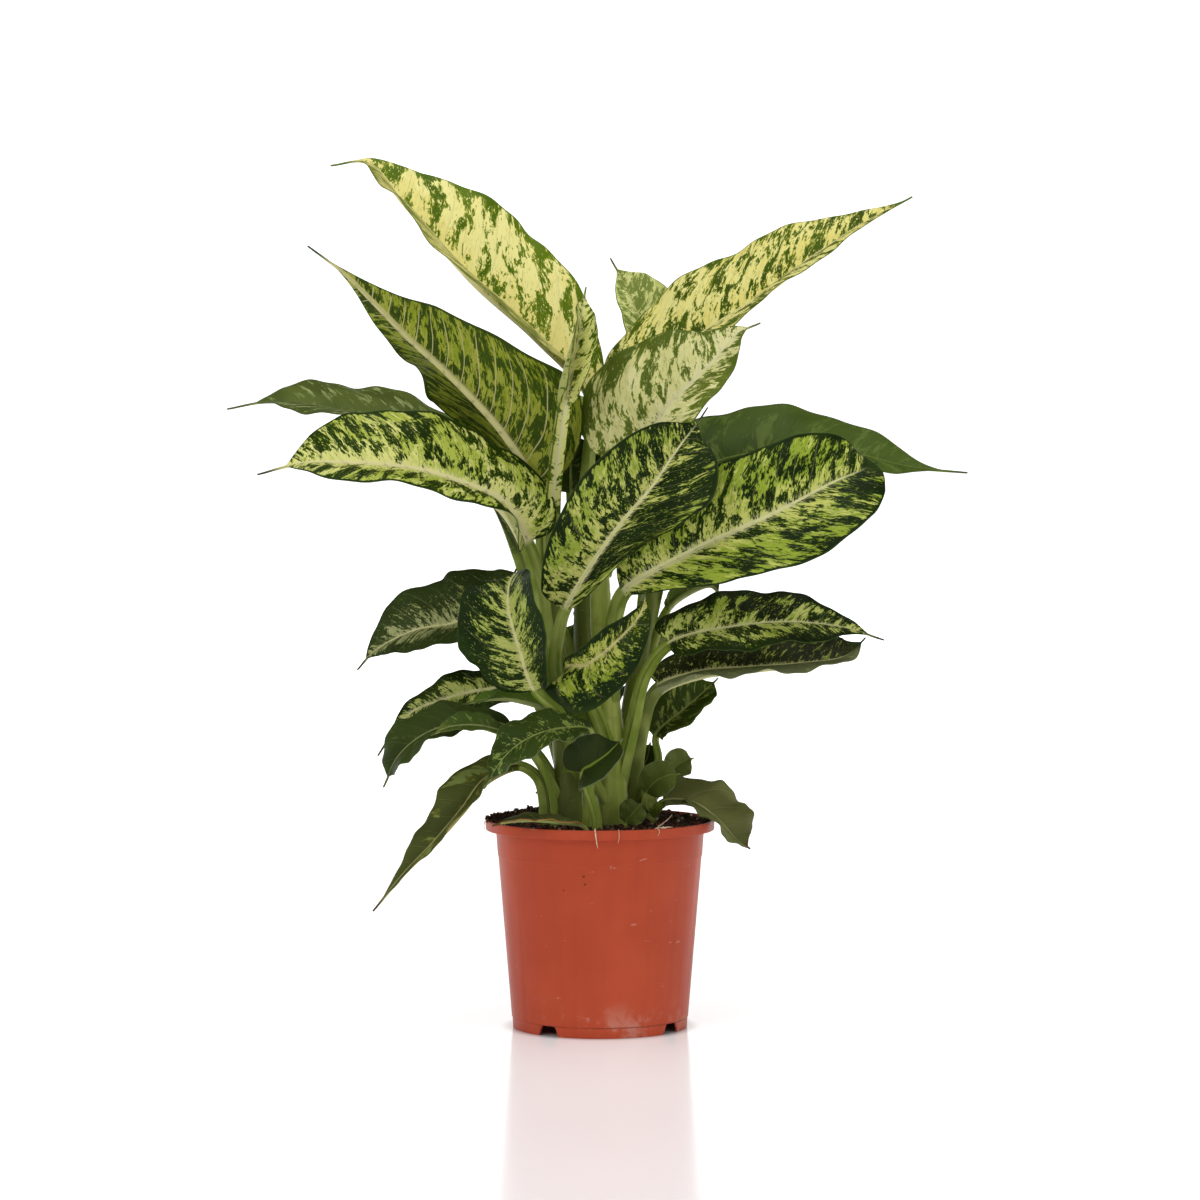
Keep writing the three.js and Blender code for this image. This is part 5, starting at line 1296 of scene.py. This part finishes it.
def soil_height(x, y):
    """The level, tilted up to the back, plus the mound exp(-d^2 / 2 spread^2), fading towards the wall."""
    from_centre = np.hypot(x, y) / SOIL_RADIUS
    far = (x - MOUND[0]) ** 2 + (y - MOUND[1]) ** 2
    mound = MOUND_HEIGHT * np.exp(-far / (2 * MOUND_SPREAD ** 2))
    edge = np.clip(from_centre, 0, 1) ** 14
    level = SOIL_LEVEL + SOIL_TILT * y / SOIL_RADIUS
    return level + mound * (1 - 0.6 * edge) + lumps(x, y) * (1 - 0.7 * edge)


def soil_surface():
    """Rings from the pot's floor up the wall, over the ledge under the rim, then in across the top."""
    turn = np.linspace(0, 2 * np.pi, SOIL_COLUMNS, endpoint=False)
    wall_low = FOOT_RADIUS + SKIRT_STEP - WALL - SOIL_GAP - 0.4
    wall_high = NECK_RADIUS - WALL - SOIL_GAP
    ledge = RIM_FLOOR + WALL - 0.6 + SOIL_GAP
    sides = [(FOOT_RADIUS - 2 * WALL - 0.6, FLOOR_TOP + SOIL_GAP), (wall_low, FLOOR_TOP + 2.6),
             (wall_high, ledge - 0.2), (SOIL_RADIUS, ledge + 1.3)]
    radii = SOIL_RADIUS * (1 - np.linspace(0, 1, SOIL_ROWS, endpoint=False) ** 1.15)
    rings = []
    for radius, z in sides:
        level = np.full_like(turn, z)
        rings.append(np.stack([radius * np.cos(turn), radius * np.sin(turn), level], axis=-1))
    for radius in radii:
        x = radius * np.cos(turn)
        y = radius * np.sin(turn)
        rings.append(np.stack([x, y, soil_height(x, y)], axis=-1))
    poles = [[0, 0, FLOOR_TOP + SOIL_GAP], [0, 0, float(soil_height(0, 0))]]
    return np.vstack([np.concatenate(rings), poles]), len(rings)


def soil_paint():
    paint = Paint("peat")
    place = paint.place()
    fine = paint.noise(place, 420, detail=6, roughness=0.7)
    coarse = paint.noise(place, 90, detail=3)
    color = paint.blend(paint.step(fine, 0.35, 0.68), linear(24, 15, 12), linear(66, 42, 30))
    color = paint.blend(paint.step(coarse, 0.45, 0.7, 0, 0.5), color, linear(92, 60, 42))
    paint.bump(paint.math("ADD", fine, paint.times(coarse, 1.5)), 0.0018)
    return paint.finish(color, paint.step(coarse, 0.3, 0.7, 0.72, 0.95), Specular_IOR_Level=0.25)


points, rows = soil_surface()
ring = np.arange(SOIL_COLUMNS)
faces = [grid_faces(rows, SOIL_COLUMNS, around=True), fan_faces(ring, rows * SOIL_COLUMNS)[:, ::-1],
         fan_faces((rows - 1) * SOIL_COLUMNS + ring, rows * SOIL_COLUMNS + 1)]
soil = add_piece("soil_filling", points, faces, soil_paint())
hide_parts("soil")
print("soil rings:", rows)

# %% Loose crumbs, perlite and spill
CRUMBS = 1500
GRAINS = 70
SPILL = 150
random = np.random.default_rng(7)


def icosahedron():
    """Twelve corners from the golden ratio; the twenty faces are the triples of mutual neighbours."""
    golden = (1 + 5 ** 0.5) / 2
    corners = np.array([(0, a, b * golden) for a in (1, -1) for b in (1, -1)], dtype=float)
    corners = np.vstack([corners, np.roll(corners, 1, axis=1), np.roll(corners, 2, axis=1)])
    near = np.linalg.norm(corners[:, None] - corners[None], axis=2) < 2.1
    near &= ~np.eye(12, dtype=bool)
    triples = near[:, :, None] & near[:, None, :] & near[None]
    a, b, c = np.nonzero(triples)
    ordered = (a < b) & (b < c)
    faces = np.stack([a[ordered], b[ordered], c[ordered]], axis=1)
    first, second, third = (corners[faces[:, place]] for place in range(3))
    normal = np.cross(second - first, third - first)
    inward = np.sum(normal * corners[faces].mean(axis=1), axis=1) < 0
    faces[inward] = faces[inward][:, ::-1]
    return unit(corners), faces


def crumbs(places, sizes, longest):
    """One crumb at each place: corners pushed in and out, stretched by up to longest, turned at random."""
    corners, faces = icosahedron()
    count = len(places)
    body = corners[None] * random.uniform(0.72, 1.2, (count, 12, 1))
    flat = random.uniform(0.6, 1, count)
    long = random.uniform(1, longest, count)
    body = body * np.stack([np.ones(count), flat, long], axis=1)[:, None]
    axes, _ = np.linalg.qr(random.normal(size=(count, 3, 3)))
    axes[:, 0] *= np.linalg.det(axes)[:, None]
    body = np.einsum("nij,nkj->nki", axes, body) * sizes[:, None, None] + places[:, None]
    all_faces = faces[None] + 12 * np.arange(count)[:, None, None]
    return body.reshape(-1, 3), [all_faces.reshape(-1, 3)]


def scattered(count, spread=1.0):
    """Even over the disc: the radius goes with the square root of a random share."""
    radius = (SOIL_RADIUS - 2.5) * np.sqrt(random.uniform(0, spread, count))
    turn = random.uniform(0, 2 * np.pi, count)
    x = radius * np.cos(turn)
    y = radius * np.sin(turn)
    return np.stack([x, y, soil_height(x, y)], axis=1)


def crumb_paint(name, dark, bright, scale):
    paint = Paint(name)
    place = paint.place()
    tone = paint.noise(place, scale, detail=2)
    fine = paint.noise(place, 900, detail=2)
    color = paint.blend(paint.step(tone, 0.35, 0.65), dark, bright)
    paint.bump(fine, FINE_RELIEF)
    return paint.finish(color, paint.step(fine, 0.2, 0.8, 0.7, 0.95), Specular_IOR_Level=0.25)


sizes = random.gamma(3.0, 0.35, CRUMBS) + 0.45
points, faces = crumbs(scattered(CRUMBS) + np.array([0, 0, 0.3]), np.minimum(sizes, 3.0), 1.9)
bark = crumb_paint("bark_crumbs", linear(30, 18, 14), linear(98, 62, 42), 160)
add_piece("soil_crumbs", points, faces, bark, crease=30)

sizes = random.uniform(0.7, 1.7, GRAINS)
points, faces = crumbs(scattered(GRAINS) + np.array([0, 0, 0.9]), sizes, 1.4)
perlite = crumb_paint("perlite_grains", linear(176, 168, 140), linear(226, 222, 206), 200)
add_piece("soil_perlite", points, faces, perlite, crease=30)

turn = np.radians(random.uniform(128, 196, SPILL))
radius = random.uniform(87, 94.6, SPILL)
heap = 1 - np.abs(turn - np.radians(166)) / np.radians(34)
height = POT_HEIGHT - 0.6 + random.uniform(0, 3.2, SPILL) * heap
places = np.stack([radius * np.cos(turn), radius * np.sin(turn), height], axis=1)
points, faces = crumbs(places, random.uniform(0.7, 1.9, SPILL), 1.6)
add_piece("soil_spill", points, faces, bark, crease=30)
print("crumbs:", CRUMBS, "grains:", GRAINS, "spilled:", SPILL)

# %% [markdown]
# ## Root hairs
# A few pale roots lie on the soil and hang over the front of the rim. They are thin tubes along short
# paths.


# %% Root hairs
def tube(path, radius, sides=7):
    """A tube that thins to nothing at its far end, closed by a pole at each end."""
    path = smooth_path(path, 8)
    along = unit(np.gradient(path, axis=0))
    first = unit(np.cross(along, [0.13, 0.31, 0.94]))
    second = np.cross(along, first)
    turn = np.linspace(0, 2 * np.pi, sides, endpoint=False)
    thin = radius * (1 - 0.75 * np.linspace(0, 1, len(path)) ** 2)
    ring = np.cos(turn)[None, :, None] * first[:, None] + np.sin(turn)[None, :, None] * second[:, None]
    points = path[:, None] + thin[:, None, None] * ring
    points = np.vstack([points.reshape(-1, 3), path[:1], path[-1:]])
    ends = np.arange(sides)
    count = len(path)
    faces = [grid_faces(count, sides, around=True), fan_faces(ends, count * sides)[:, ::-1],
             fan_faces((count - 1) * sides + ends, count * sides + 1)]
    return points, faces


ROOT_HAIRS = {
    "root_over_front": ([(-4, -84, 170.5), (-4, -93, 172.6), (-3.4, -95.9, 168), (-2.6, -95.8, 162),
                         (-1.8, -92, 157.5)], 0.75),
    "root_on_soil": ([(47, -62, 171.8), (52, -60, 175), (57, -52, 178.5), (59, -46, 180.5)], 0.5),
    "root_on_rim_first": ([(43, -80, 170.6), (46, -82.6, 172.8), (48, -82.9, 170),
                           (46.5, -83.9, 166.2)], 0.5),
    "root_on_rim_second": ([(50, -77, 171), (53, -78.6, 172.9), (56, -77, 173.2), (59, -74.4, 172.8)], 0.6),
    "root_on_rim_third": ([(45, -81.4, 172.7), (49, -80.5, 173), (52, -79.3, 173),
                           (54, -77.5, 172.8)], 0.55),
    "root_curl": ([(15, -93.2, 172.6), (15.4, -95.6, 169), (15.2, -95.7, 164.8), (14.2, -94.2, 161.5)], 0.3),
    "root_left_edge": ([(-92.8, -6, 172.6), (-95.4, -6, 170), (-95.7, -5, 165.6), (-94.2, -4, 160.6)], 0.4),
}


def root_paint():
    paint = Paint("pale_root")
    tone = paint.noise(paint.place(), 300, detail=3)
    color = paint.blend(paint.step(tone, 0.3, 0.7), linear(198, 160, 128), linear(236, 214, 184))
    paint.bump(tone, 0.0003)
    return paint.finish(color, paint.step(tone, 0.2, 0.8, 0.5, 0.7))


roots = root_paint()
for name, (path, radius) in ROOT_HAIRS.items():
    points, faces = tube(path, radius)
    add_piece(name, points, faces, roots)
print("root hairs:", len(ROOT_HAIRS))
